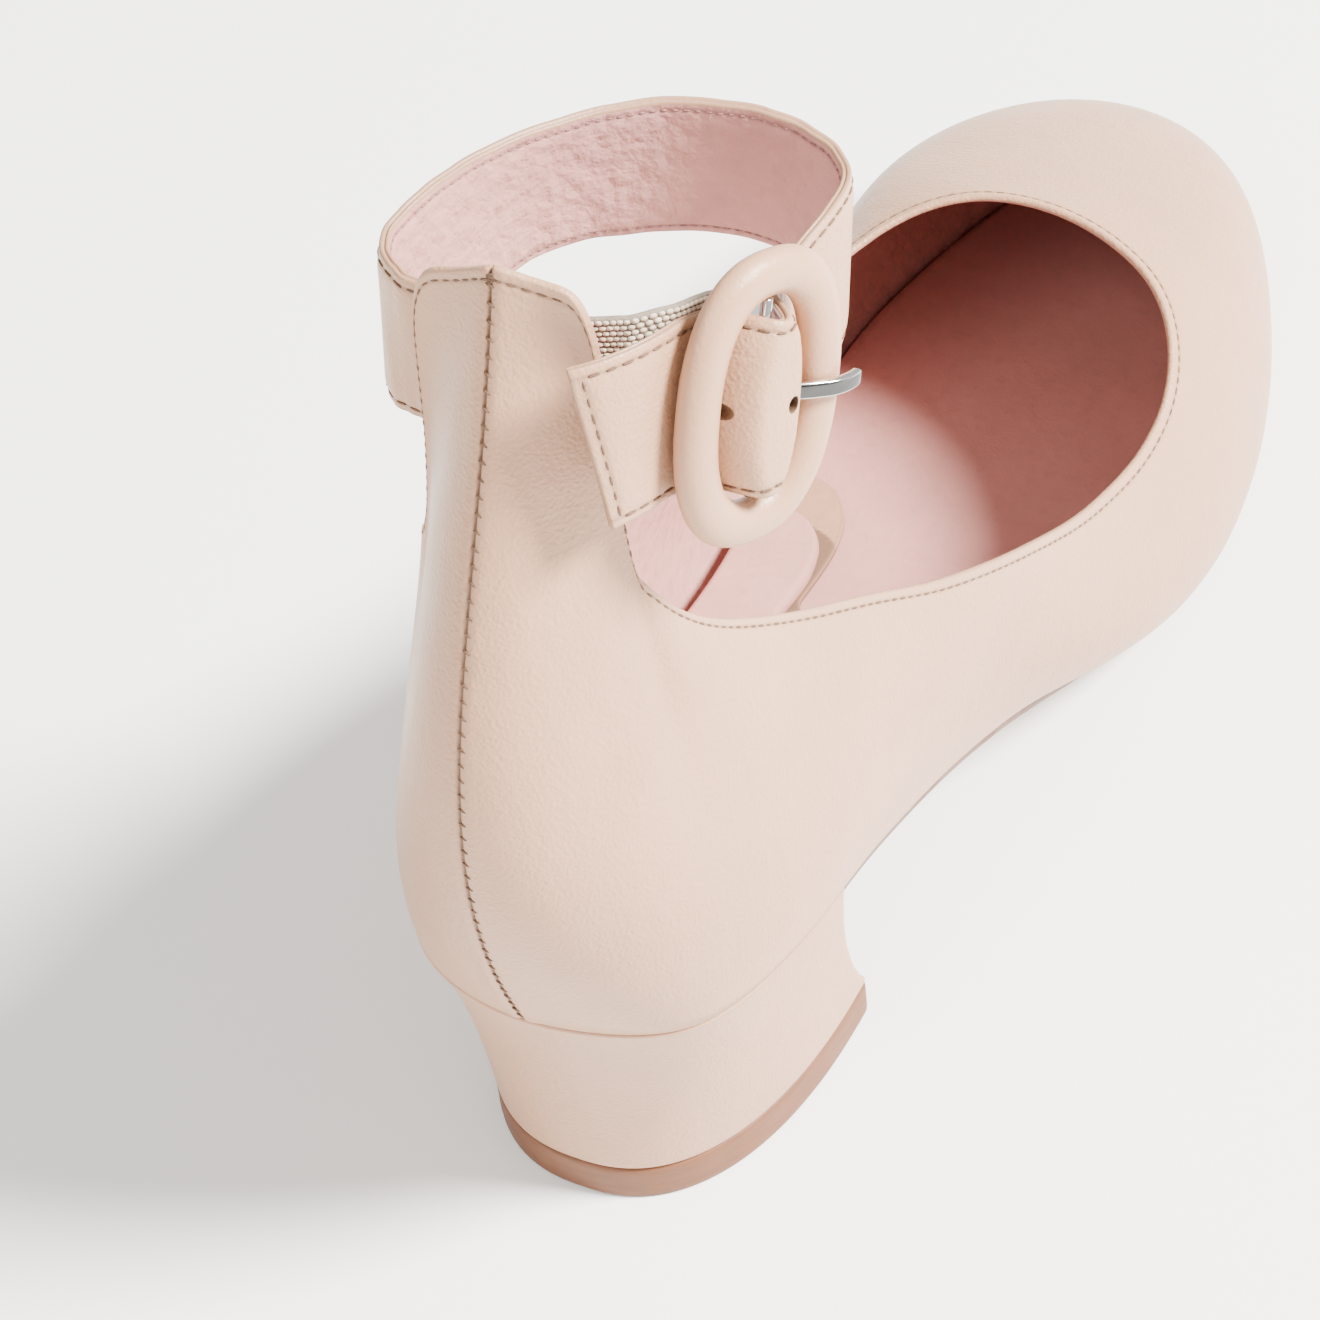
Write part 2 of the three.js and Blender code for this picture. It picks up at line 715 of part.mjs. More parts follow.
// Mid-line of the strap, from inside the heel tab round the front to the buckle.
// across: share of strapSpan. along: share of strapReach from the tab. fall: share of strapDrop.
// lean: how far the strap's width leans forward from upright, in degrees.
const strapRoute = [
  { across: -0.07, along: 0, fall: 0.327, lean: 2 },
  { across: -0.16, along: 0.009, fall: 0.327, lean: 2 },
  { across: -0.24, along: 0.021, fall: 0.327, lean: 2 },
  { across: -0.308, along: 0.024, fall: 0.327, lean: 1.5 },
  { across: -0.346, along: 0.03, fall: 0.322, lean: 0.9 },
  { across: -0.381, along: 0.04, fall: 0.316, lean: 3 },
  { across: -0.432, along: 0.062, fall: 0.325, lean: 6.1 },
  { across: -0.47, along: 0.11, fall: 0.327, lean: 9.9 },
  { across: -0.47, along: 0.189, fall: 0.339, lean: 7.5 },
  { across: -0.453, along: 0.293, fall: 0.352, lean: 1 },
  { across: -0.424, along: 0.421, fall: 0.389, lean: -6.5 },
  { across: -0.375, along: 0.55, fall: 0.435, lean: -11.8 },
  { across: -0.29, along: 0.67, fall: 0.502, lean: -10.7 },
  { across: -0.18, along: 0.765, fall: 0.561, lean: -6.5 },
  { across: -0.055, along: 0.838, fall: 0.602, lean: -4.1 },
  { across: 0.073, along: 0.881, fall: 0.648, lean: -3.4 },
  { across: 0.207, along: 0.9, fall: 0.693, lean: -1.1 },
  { across: 0.325, along: 0.888, fall: 0.761, lean: 3.5 },
  { across: 0.434, along: 0.838, fall: 0.8, lean: 8.6 },
  { across: 0.503, along: 0.751, fall: 0.788, lean: 13.3 },
  { across: 0.521, along: 0.616, fall: 0.733, lean: 17.5 },
];

// How far behind the ring's middle the strap and the elastic run where they pass under its rims.
const strapUnder = -(ringDepth / 2 + strapThickness / 2 + 2 * gap);
const elasticUnder = strapUnder - (strapThickness + elasticThickness) / 2 - 2 * gap;
const strapMid = strapTop - strapWidth * 0.48;

// A path with the lean of each of its points, in degrees.
function leaningPath(rows) {
  const curve = new THREE.CatmullRomCurve3(
    rows.map((row) => row.point),
    false,
    'centripetal',
  );
  const last = rows.length - 1;
  const at = (s) => {
    const place = curve.getUtoTmapping(s) * last;
    const i = Math.min(last - 1, Math.floor(place));
    const angle = THREE.MathUtils.degToRad(mix(rows[i].lean, rows[i + 1].lean, smooth(place - i)));
    return { point: curve.getPointAt(s), lean: new THREE.Vector3(0, Math.sin(angle), Math.cos(angle)) };
  };
  return { at, length: curve.getLength() };
}

const byBuckle = (along, rise, out) => ({ point: ringPlace(along, rise, out), lean: buckleLean });

const inTab = (row, height) => ({
  point: new THREE.Vector3(row.across * strapSpan, tabInside + row.along * strapReach, height),
  lean: row.lean,
});

// The strap where it dips under the ring's front arm, as shares of strapWidth.
// ahead: in front of the arm. out: off its line under the ring.
const strapLead = [
  { ahead: 0.18, out: -0.23 },
  { ahead: 0, out: -0.1 },
];

// The strap's free end beyond the ring, where it stands off the tab, as shares of strapWidth.
// past: behind the ring's back arm. rise and out: off the strap's own line.
const strapEnd = [
  { past: 0, rise: 0, out: 0 },
  { past: 0.165, rise: -0.012, out: 0.025 },
  { past: 0.355, rise: -0.038, out: 0.025 },
  { past: 0.54, rise: -0.075, out: -0.017 },
  { past: 0.69, rise: -0.112, out: -0.09 },
];

function strapPath() {
  const half = ringWidth / 2;
  const lead = (row) => byBuckle(half + row.ahead * strapWidth, 0, strapUnder + row.out * strapWidth);
  const end = (row) => {
    const past = -half - row.past * strapWidth;
    return byBuckle(past, row.rise * strapWidth, strapUnder + row.out * strapWidth);
  };
  return leaningPath([
    ...strapRoute.map((row) => inTab(row, strapMid - row.fall * strapDrop)),
    ...strapLead.map(lead),
    byBuckle(0, 0, strapUnder),
    ...strapEnd.map(end),
  ]);
}

// Share of its full rise that a band has in the ring: 1 over the bar, 0 under the rims. It starts
// sooner near the band's edges, where the oval leaves less room.
function crestLift(along, rise) {
  const across = clamp(Math.abs(rise) / (ringHeight / 2 - ringFace / 2), 0, 1);
  const inside = Math.pow(1 - Math.pow(across, ringSquareness), 1 / ringSquareness);
  const reach = (ringWidth / 2 - ringFace / 2) * inside - crestMargin;
  return 1 - smooth((along - (reach - crestSlope)) / (2 * crestSlope));
}

// A band of given width and thickness along a path. shape moves each point, slant makes one end
// longer at the top edge than at the bottom edge.
function band({ path, width, thickness, steps, across, slant, shape }) {
  const grid = [];
  for (let i = 0; i <= steps; i += 1) {
    const row = [];
    for (let j = 0; j <= across; j += 1) {
      const side = j / across - 0.5;
      const shorter = slant * (0.5 - side);
      const s = (i / steps) * (1 - (shorter / path.length) * smooth((i / steps - 0.8) / 0.2));
      const { point, lean } = path.at(s);
      row.push(shape(point.addScaledVector(lean, side * width)));
    }
    grid.push(row);
  }
  const normal = (i, j) => {
    const i0 = Math.max(0, i - 1);
    const i1 = Math.min(steps, i + 1);
    const j0 = Math.max(0, j - 1);
    const j1 = Math.min(across, j + 1);
    const ahead = grid[i1][j].clone().sub(grid[i0][j]);
    const rise = grid[i][j1].clone().sub(grid[i][j0]);
    return ahead.cross(rise).normalize();
  };
  const body = new Body();
  const outer = [];
  const inner = [];
  grid.forEach((row, i) => {
    outer.push(row.map((p, j) => body.add(p.clone().addScaledVector(normal(i, j), thickness / 2))));
    inner.push(row.map((p, j) => body.add(p.clone().addScaledVector(normal(i, j), -thickness / 2))));
  });
  for (let i = 0; i < steps; i += 1) {
    for (let j = 0; j < across; j += 1) {
      body.quad(outer[i][j], outer[i + 1][j], outer[i + 1][j + 1], outer[i][j + 1]);
      body.quad(inner[i][j], inner[i][j + 1], inner[i + 1][j + 1], inner[i + 1][j]);
    }
    body.quad(outer[i][across], outer[i + 1][across], inner[i + 1][across], inner[i][across]);
    body.quad(outer[i][0], inner[i][0], inner[i + 1][0], outer[i + 1][0]);
  }
  for (let j = 0; j < across; j += 1) {
    body.quad(outer[0][j], outer[0][j + 1], inner[0][j + 1], inner[0][j]);
    body.quad(outer[steps][j], inner[steps][j], inner[steps][j + 1], outer[steps][j + 1]);
  }
  return body.geometry();
}

// Lifts a point of the strap or of the elastic where it lies in the ring. late: how much nearer to
// the bar the lift starts.
function throughRing(point, height, late) {
  const local = point.clone().sub(ringCentre);
  const along = local.dot(acrossRing);
  const rise = local.dot(upRing);
  const clear = ringHeight * 0.75;
  if (local.length() > clear) return point;
  return point.addScaledVector(outRing, height * crestLift(Math.abs(along) + late, rise));
}

function holeCutter(along) {
  const radius = holeLength / 2;
  const geometry = new THREE.CylinderGeometry(radius, radius, 4 * strapThickness, roundSides);
  const turn = new THREE.Matrix4().makeBasis(acrossRing, outRing, upRing.clone().negate());
  turn.setPosition(ringPlace(along, 0, strapCrest));
  return solid(geometry.applyMatrix4(turn));
}

function ankleStrap() {
  const path = strapPath();
  const whole = solid(
    band({
      path,
      width: strapWidth,
      thickness: strapThickness,
      steps: strapSteps,
      across: strapAcross,
      slant: tipSlant,
      shape: (point) => throughRing(point, strapCrest - strapUnder, 0),
    }),
  );
  const wide = 2 * prongClearance;
  const slot = solid(rod(prongPath(), prongWidth + wide, prongThickness + wide, prongSteps));
  const nearHole = holeCutter(holeAhead);
  const farHole = holeCutter(holeAhead - holePitch);
  return geometryOf(whole.subtract(slot).subtract(nearHole).subtract(farHole));
}

// Start of the elastic inside the tab's outer half, in the strap's own terms.
const elasticRoute = [
  { across: 0.055, along: 0.004, lean: 3 },
  { across: 0.185, along: 0.014, lean: 5 },
  { across: 0.29, along: 0.034, lean: 9 },
];

// Elastic from inside the tab to the buckle's bar, behind the strap's end.
function elasticTab() {
  const half = ringWidth / 2;
  const path = leaningPath([
    ...elasticRoute.map((row) => inTab(row, strapMid - elasticDrop)),
    byBuckle(-half, 0, elasticUnder),
    byBuckle(-half / 2, 0, elasticUnder),
    byBuckle(-eyeRadius - barRadius / 2 - 2 * gap, 0, elasticUnder),
  ]);
  return band({
    path,
    width: elasticWidth,
    thickness: elasticThickness,
    steps: elasticSteps,
    across: elasticAcross,
    slant: 0,
    shape: (point) => throughRing(point, -elasticUnder, elasticThickness),
  });
}

// Finishes
const leather = () => new THREE.MeshStandardMaterial({ color: 0xd9c4b6, roughness: 0.5, metalness: 0 });
const lining = () => new THREE.MeshStandardMaterial({ color: 0xd9aea3, roughness: 0.7, metalness: 0 });
const soleLeather = () => new THREE.MeshStandardMaterial({ color: 0xb08468, roughness: 0.6, metalness: 0 });
const woven = () => new THREE.MeshStandardMaterial({ color: 0xcbb9a8, roughness: 0.9, metalness: 0 });
const metal = () => new THREE.MeshStandardMaterial({ color: 0xd8d8d6, roughness: 0.2, metalness: 1 });

function piece(name, geometry, material) {
  const mesh = new THREE.Mesh(geometry, material);
  mesh.name = name;
  return mesh;
}

const shoe = new THREE.Group();
shoe.add(
  piece('upper', upperShell(), leather()),
  piece('outsole', outsole(), soleLeather()),
  piece('heel_block', heelBlock(), leather()),
  piece('heel_lift', heelLift(), soleLeather()),
  piece('insole', insole(), lining()),
  piece('heel_sock', heelSock(), lining()),
  piece('heel_cushion', heelCushion(), lining()),
  piece('ankle_strap', ankleStrap(), leather()),
  piece('elastic_tab', elasticTab(), woven()),
  piece('buckle_ring', buckleRing(), leather()),
  piece('buckle_bar', buckleBar(), metal()),
  piece('buckle_prong', bucklePin(), metal()),
);

// Origin at the middle of the footprint, on the floor.
const box = new THREE.Box3().setFromObject(shoe);
const centre = box.getCenter(new THREE.Vector3());
shoe.position.set(-centre.x, -centre.y, -box.min.z);
shoe.updateMatrixWorld(true);

export default shoe;
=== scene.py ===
"""Dresses the right shoe of a block-heel mary jane pump: leather, lining, stitching, buckle."""

import math

import bmesh
import bpy
import numpy as np
from mathutils import Matrix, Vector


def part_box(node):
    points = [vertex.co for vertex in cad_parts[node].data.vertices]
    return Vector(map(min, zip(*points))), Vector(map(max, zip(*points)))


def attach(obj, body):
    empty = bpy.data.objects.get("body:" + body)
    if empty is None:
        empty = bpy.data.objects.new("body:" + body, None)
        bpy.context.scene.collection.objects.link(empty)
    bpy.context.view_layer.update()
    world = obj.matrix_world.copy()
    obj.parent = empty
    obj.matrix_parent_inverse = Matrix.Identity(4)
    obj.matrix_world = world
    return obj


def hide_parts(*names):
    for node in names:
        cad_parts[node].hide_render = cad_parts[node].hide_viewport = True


bl_info = {
    "name": "Mary Jane Pump",
    "version": (1, 0, 0),
    "blender": (4, 5, 0),
    "location": "3D View > Sidebar > Shoe",
    "description": "Builds the dressed right shoe of a block-heel mary jane pump",
    "category": "Add Mesh",
}

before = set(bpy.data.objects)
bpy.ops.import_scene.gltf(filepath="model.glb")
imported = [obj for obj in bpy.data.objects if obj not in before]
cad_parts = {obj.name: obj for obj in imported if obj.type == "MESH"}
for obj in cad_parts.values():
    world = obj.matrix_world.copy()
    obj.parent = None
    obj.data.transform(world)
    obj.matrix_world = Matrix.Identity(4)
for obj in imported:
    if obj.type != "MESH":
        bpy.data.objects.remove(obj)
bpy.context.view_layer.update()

# Sizes of the solids, in millimetres, with +Y to the toe, +X outwards and +Z up.
SHOE_LENGTH = 240.0
BALL_WIDTH = 84.0
SEAT_HEIGHT = 48.0
TAB_RISE = 121.0
QUARTER_RISE = 88.0
THROAT_RISE = 43.0
UPPER_WALL = 1.8
SOLE = 2.6
SOLE_BEVEL = 0.65
TOE_SPRING = 4.5
SOLE_INSET = 0.8
HEEL_SEAT = 43.0
LIFT_THICKNESS = 6.4
LIFT_WIDTH = 50.0
LIFT_LENGTH = 45.0
LIFT_SQUARENESS = 2.4
HEEL_PITCH = 7.4
HEEL_TUCK = 2.6
BREAST_HOLLOW = 2.6
INSOLE = 2.4
SOCK = 0.8
SOCK_LENGTH = 150.0
CUSHION = 2.6
CUSHION_LENGTH = 138.0
STRAP_WIDTH = 24.0
STRAP = 2.0
STRAP_SPAN = 46.0
STRAP_REACH = 57.5
STRAP_DROP = 18.5
STRAP_TUCK = 6.0
STRAP_CREST = 3.3
CREST_SLOPE = 2.6
CREST_MARGIN = 1.9
TIP_SLANT = 7.5
ELASTIC_WIDTH = 26.0
ELASTIC = 1.6
ELASTIC_DROP = 5.6
RING_HEIGHT = 34.0
RING_WIDTH = 20.5
RING_FACE = 6.0
RING_DEPTH = 4.8
RING_SQUARENESS = 2.4
BUCKLE_OUT = 27.0
BUCKLE_AHEAD = 10.2
BUCKLE_YAW = 22.0
BUCKLE_DIP = 18.0
BUCKLE_LEAN = 20.0
BAR_RADIUS = 0.8
EYE_RADIUS = 1.5
PRONG_WIDTH = 2.4
PRONG = 1.3
HOLE_PITCH = 8.6
HOLE_AHEAD = 2.2
GAP = 0.3
TAB_CLEARANCE = 1.3
SOLE_TOP = SOLE + GAP

# Feather line: share of the length, rise of the arch, spring of the toe.
FEATHER = np.array([
    (0.0, 1.0, 0), (0.1, 0.945, 0), (0.2, 0.825, 0), (0.31, 0.6, 0), (0.42, 0.35, 0),
    (0.52, 0.13, 0), (0.6, 0.02, 0), (0.65, 0, 0), (0.79, 0, 0), (0.87, 0, 0.2), (1.0, 0, 1),
])

# Sections of the upper from the back seam round the outer side: rise, then foot (across, along),
# belly (out, up), crown (out, up) and rim (across, along, up), as shares. The two rows on each
# side of the back seam are a little fuller than the solid's.
SECTIONS = [
    ("tab", 0, 0.024, 0.247, 0.448, 0.162, 0.599, 0, 0.105, 1),
    ("tab", 0.18, 0.038, 0.15, 0.31, 0.08, 0.56, 0.083, 0.11, 0.993),
    ("tab", 0.29, 0.075, 0.055, 0.29, -0.025, 0.48, 0.153, 0.108, 0.95),
    ("quarter", 0.333, 0.15, 0.055, 0.25, 0.095, 0.57, 0.189, 0.139, 0.828),
    ("throat", 0.328, 0.25, 0.045, 0.37, 0.06, 0.82, 0.324, 0.281, 1.032),
    ("throat", 0.33, 0.383, 0.06, 0.3, 0.03, 0.66, 0.403, 0.382, 0.994),
    ("throat", 0.38, 0.508, 0.14, 0.21, 0.08, 0.56, 0.419, 0.499, 0.908),
    ("throat", 0.452, 0.633, 0.12, 0.19, 0.12, 0.7, 0.423, 0.61, 0.931),
    ("throat", 0.405, 0.758, 0.12, 0.19, 0.16, 0.77, 0.363, 0.675, 1.018),
    ("throat", 0.286, 0.865, 0.12, 0.23, 0.25, 0.79, 0.261, 0.71, 1.044),
    ("throat", 0.125, 0.938, 0.18, 0.27, 0.34, 0.74, 0.107, 0.731, 1.025),
    ("throat", -0.06, 0.97, 0.21, 0.25, 0.4, 0.69, -0.048, 0.73, 1.001),
    ("throat", -0.214, 0.938, 0.17, 0.27, 0.34, 0.74, -0.15, 0.712, 0.998),
    ("throat", -0.327, 0.86, 0.105, 0.23, 0.25, 0.79, -0.204, 0.693, 1.013),
    ("throat", -0.4, 0.758, 0.095, 0.21, 0.16, 0.77, -0.257, 0.664, 0.988),
    ("throat", -0.4, 0.633, 0.085, 0.21, 0.12, 0.7, -0.311, 0.595, 0.926),
    ("throat", -0.345, 0.508, 0.085, 0.23, 0.06, 0.6, -0.314, 0.487, 0.938),
    ("throat", -0.286, 0.383, 0.07, 0.3, 0.03, 0.68, -0.323, 0.383, 0.994),
    ("throat", -0.292, 0.25, 0.05, 0.37, 0.06, 0.8, -0.299, 0.281, 1.033),
    ("quarter", -0.322, 0.15, 0.055, 0.25, 0.095, 0.57, -0.184, 0.139, 0.828),
    ("tab", -0.278, 0.077, 0.037, 0.29, -0.035, 0.48, -0.163, 0.108, 0.927),
    ("tab", -0.165, 0.037, 0.13, 0.31, 0.06, 0.56, -0.086, 0.11, 0.976),
]
RISES = {"tab": TAB_RISE, "quarter": QUARTER_RISE, "throat": THROAT_RISE}

# Top edge of the upper from the back seam to the toe: base section, top section, height share.
TOP_EDGE = np.array([
    (0.0, 0.0, 1.0), (0.55, 0.75, 0.998), (1.0, 1.45, 0.985), (1.35, 1.86, 0.955), (1.6, 1.97, 0.9),
    (1.8, 2.0, 0.83), (2.0, 2.03, 0.765), (2.25, 2.16, 0.746), (2.6, 2.48, 0.786), (3.1, 3.0, 0.865),
    (3.6, 3.55, 0.944), (4.1, 4.1, 1.0), (5.0, 5.0, 1.0), (8.0, 8.0, 1.0), (11.0, 11.0, 1.0),
])

# Strap from inside the tab to the buckle: across, along, fall (shares), lean (degrees).
STRAP_ROUTE = [
    (-0.07, 0, 0.327, 2), (-0.16, 0.009, 0.327, 2), (-0.24, 0.021, 0.327, 2), (-0.308, 0.024, 0.327, 1.5),
    (-0.346, 0.03, 0.322, 0.9), (-0.381, 0.04, 0.316, 3), (-0.432, 0.062, 0.325, 6.1),
    (-0.47, 0.11, 0.327, 9.9), (-0.47, 0.189, 0.339, 7.5), (-0.453, 0.293, 0.352, 1),
    (-0.424, 0.421, 0.389, -6.5), (-0.375, 0.55, 0.435, -11.8), (-0.29, 0.67, 0.502, -10.7),
    (-0.18, 0.765, 0.561, -6.5), (-0.055, 0.838, 0.602, -4.1), (0.073, 0.881, 0.648, -3.4),
    (0.207, 0.9, 0.693, -1.1), (0.325, 0.888, 0.761, 3.5), (0.434, 0.838, 0.8, 8.6),
    (0.503, 0.751, 0.788, 13.3), (0.521, 0.616, 0.733, 17.5),
]
# Strap at the ring's front arm (ahead of it, out) and from its back arm to the tip (past it,
# rise, out), as shares of its width.
STRAP_LEAD = [(0.18, -0.23), (0, -0.1)]
STRAP_END = [
    (0, 0, 0), (0.165, -0.012, 0.025), (0.355, -0.038, 0.025), (0.54, -0.075, -0.017), (0.69, -0.112, -0.09),
]
# Middle of the elastic (across, along, lean), middle of the prong (shares of the ring's half
# width and of its face, then out), and the cushion's front edge (share of length, of width).
ELASTIC_ROUTE = [(0.055, 0.004, 3), (0.185, 0.014, 5), (0.29, 0.034, 9)]
PRONG_ROUTE = [(0.12, 0, 0), (0.35, 0, 0.16), (0.68, 0, 0.66), (1, 0, 1), (1, 0.48, 0.97), (1, 0.66, 0.86)]
PAD_EDGE = np.array([
    (0, 0), (0.56, 0), (0.65, 0.36), (0.71, 0.62), (0.77, 0.735), (0.85, 0.74), (0.92, 0.765),
    (0.97, 0.83), (1, 1),
])


# Curves and surfaces.

def mix(a, b, t):
    return a + (b - a) * t


def smooth(t):
    """Soft step from 0 to 1."""
    s = np.clip(t, 0, 1)
    return s * s * (3 - 2 * s)


def circle(count):
    """Evenly spread angles of one turn."""
    return 2 * np.pi * np.arange(count) / count


def squarish(angle, power):
    """A circle's two coordinates, flattened towards a square as the power falls."""
    c, s = np.cos(angle), np.sin(angle)
    return np.sign(c) * np.abs(c) ** power, np.sign(s) * np.abs(s) ** power


def reach_along(points):
    """Length of a line up to each of its points."""
    return np.concatenate([[0], np.cumsum(np.linalg.norm(np.diff(points, axis=0), axis=1))])


def read_at(stops, reach, values):
    """Three values of a line at given lengths along it."""
    return np.stack([np.interp(stops, reach, values[:, k]) for k in range(3)], -1)


def hump(distance, width):
    """A soft ridge, 1 at no distance."""
    return np.exp(-((distance / width) ** 2))


def ring_spline(values):
    """Smooth closed curve through values, as a function of the place in their row."""
    v = np.array(values, float)
    n = len(v)
    matrix = 4 * np.eye(n) + np.roll(np.eye(n), 1, 0) + np.roll(np.eye(n), -1, 0)
    bend = np.linalg.solve(matrix, 6 * (np.roll(v, -1) - 2 * v + np.roll(v, 1)))

    def at(u):
        u = np.asarray(u, float)
        whole = np.floor(u).astype(int)
        t = u - whole
        i = whole % n
        j = (i + 1) % n
        s = 1 - t
        return s * v[i] + t * v[j] + ((s**3 - s) * bend[i] + (t**3 - t) * bend[j]) / 6

    return at


def monotone(xs, ys, x):
    """Cubic through a table that never overshoots it."""
    slope = np.diff(ys) / np.diff(xs)
    tangent = np.empty(len(xs))
    tangent[0], tangent[-1] = slope[0], slope[-1]
    before, after = slope[:-1], slope[1:]
    same = before * after > 0
    safe = np.where(same, before + after, 1)
    tangent[1:-1] = np.where(same, 2 * before * after / safe, 0)
    x = np.clip(x, xs[0], xs[-1])
    i = np.clip(np.searchsorted(xs, x, side="right") - 1, 0, len(xs) - 2)
    width = xs[i + 1] - xs[i]
    t = (x - xs[i]) / width
    a, b = ys[i], ys[i + 1]
    ta, tb = tangent[i] * width, tangent[i + 1] * width
    t2, t3 = t * t, t**3
    start = a * (2 * t3 - 3 * t2 + 1) + ta * (t3 - 2 * t2 + t)
    return start + b * (3 * t2 - 2 * t3) + tb * (t3 - t2)


def feather(y):
    """Height of the feather line above the floor."""
    along = np.asarray(y, float) / SHOE_LENGTH
    arch = monotone(FEATHER[:, 0], FEATHER[:, 1], along)
    spring = monotone(FEATHER[:, 0], FEATHER[:, 2], along)
    return SOLE_TOP + (SEAT_HEIGHT - SOLE_TOP) * arch + TOE_SPRING * spring


def column_of(number, scale=None):
    """One column of the sections' table in millimetres. Without a scale it is a share of the rise."""
    return ring_spline([row[number] * (scale or RISES[row[0]]) for row in SECTIONS])


FOOT_X, FOOT_Y = column_of(1, BALL_WIDTH), column_of(2, SHOE_LENGTH)
BELLY_OUT, BELLY_UP = column_of(3, BALL_WIDTH), column_of(4)
CROWN_OUT, CROWN_UP = column_of(5, BALL_WIDTH), column_of(6)
RIM_X, RIM_Y, RIM_UP = column_of(7, BALL_WIDTH), column_of(8, SHOE_LENGTH), column_of(9)


def unit(v):
    return v / np.maximum(np.linalg.norm(v, axis=-1, keepdims=True), 1e-9)


def outward(u):
    """Level direction away from the foot at section u."""
    step = 0.01
    dx = FOOT_X(u + step) - FOOT_X(u - step)
    dy = FOOT_Y(u + step) - FOOT_Y(u - step)
    return unit(np.stack([dy, -dx, np.zeros_like(dx)], -1))


def upper_point(u, h):
    """Outer face of the upper: section u, share h of its profile."""
    base = feather(FOOT_Y(u))
    foot = np.stack([FOOT_X(u), FOOT_Y(u), base], -1)
    out = outward(u)
    belly = foot + out * BELLY_OUT(u)[..., None]
    belly[..., 2] += BELLY_UP(u)
    rim = np.stack([RIM_X(u), RIM_Y(u), base + RIM_UP(u)], -1)
    crown = rim + out * CROWN_OUT(u)[..., None]
    crown[..., 2] = base + CROWN_UP(u)
    h = h[..., None]
    k = 1 - h
    return foot * k**3 + belly * 3 * k * k * h + crown * 3 * k * h * h + rim * h**3


def upper_normal(u, h):
    step = 0.02
    low = np.maximum(0, h - step)
    along = upper_point(u + step, h) - upper_point(u - step, h)
    rise = upper_point(u, h + step) - upper_point(u, low)
    return unit(np.cross(along, rise))


def upper_column(c):
    """Base section, top section and height share of column c, 0 to 1 round the shoe."""
    last = len(TOP_EDGE) - 1
    place = np.asarray(c) * 2 * last
    inner = place > last
    row = np.where(inner, 2 * last - place, place)
    steps = np.arange(last + 1.0)
    base, section, height = (monotone(steps, TOP_EDGE[:, k], row) for k in range(3))
    count = len(SECTIONS)
    return np.where(inner, count - base, base), np.where(inner, count - section, section), height


def upper_columns(count, extra):
    """Columns spread evenly, with more of them at the back seam. extra: millimetres from it."""
    fine = 2400
    c = np.arange(fine + 1) / fine
    base, section, height = upper_column(c % 1)
    top = upper_point(section, height)
    foot = upper_point(base, np.zeros_like(base))
    reach = reach_along(top) + reach_along(foot)
    even = np.arange(count) * reach[-1] / count
    near = np.array(extra) * 2
    spread = near.max() * 1.2
    even = even[(even > spread) & (even < reach[-1] - spread)]
    targets = np.sort(np.concatenate([[0], near, even, reach[-1] - near]))
    return upper_column(np.interp(targets, reach, c))


# Buckle frame and bands.

YAW, DIP = math.radians(BUCKLE_YAW), math.radians(BUCKLE_DIP)
STRAP_TOP = SEAT_HEIGHT + TAB_RISE - STRAP_TUCK
TAB_INSIDE = float(RIM_Y(0.0)) + UPPER_WALL + TAB_CLEARANCE
RING_CENTRE = np.array([BUCKLE_OUT, TAB_INSIDE + BUCKLE_AHEAD, STRAP_TOP - STRAP_WIDTH * 0.8])
ACROSS = np.array([math.sin(YAW) * math.cos(DIP), math.cos(YAW) * math.cos(DIP), -math.sin(DIP)])
OUT = unit(np.cross(ACROSS, np.array([0, math.sin(DIP), math.cos(DIP)])))
UP = unit(np.cross(OUT, ACROSS))
STRAP_UNDER = -(RING_DEPTH / 2 + STRAP / 2 + 2 * GAP)
ELASTIC_UNDER = STRAP_UNDER - (STRAP + ELASTIC) / 2 - 2 * GAP
STRAP_MID = STRAP_TOP - STRAP_WIDTH * 0.48
TIP_SHARE = 0.2  # last part of a band, over which its end turns slanted


def by_buckle(along, rise, out):
    """Points given along, up and out of the buckle's own plane."""
    along, rise, out = np.broadcast_arrays(along, rise, out)
    return RING_CENTRE + along[..., None] * ACROSS + rise[..., None] * UP + out[..., None] * OUT


def catmull(points, per=40):
    """Centripetal curve through points. Gives fine points and their place in rows."""
    p = np.array(points, float)
    p = np.vstack([2 * p[0] - p[1], p, 2 * p[-1] - p[-2]])
    places, result = [], []
    for i in range(1, len(p) - 2):
        p0, p1, p2, p3 = p[i - 1:i + 3]
        pairs = ((p0, p1), (p1, p2), (p2, p3))
        d0, d1, d2 = (max(float(np.sum((b - a) ** 2)) ** 0.25, 1e-4) for a, b in pairs)
        t1 = ((p1 - p0) / d0 - (p2 - p0) / (d0 + d1) + (p2 - p1) / d1) * d1
        t2 = ((p2 - p1) / d1 - (p3 - p1) / (d1 + d2) + (p3 - p2) / d2) * d1
        t = (np.arange(per) / per)[:, None]
        square, cube = 3 * p2 - 3 * p1 - 2 * t1 - t2, 2 * p1 - 2 * p2 + t1 + t2
        result.append(p1 + t1 * t + square * t**2 + cube * t**3)
        places.append(i - 1 + t[:, 0])
    result.append(p[-2][None])
    places.append([len(p) - 3])
    return np.vstack(result), np.concatenate(places)


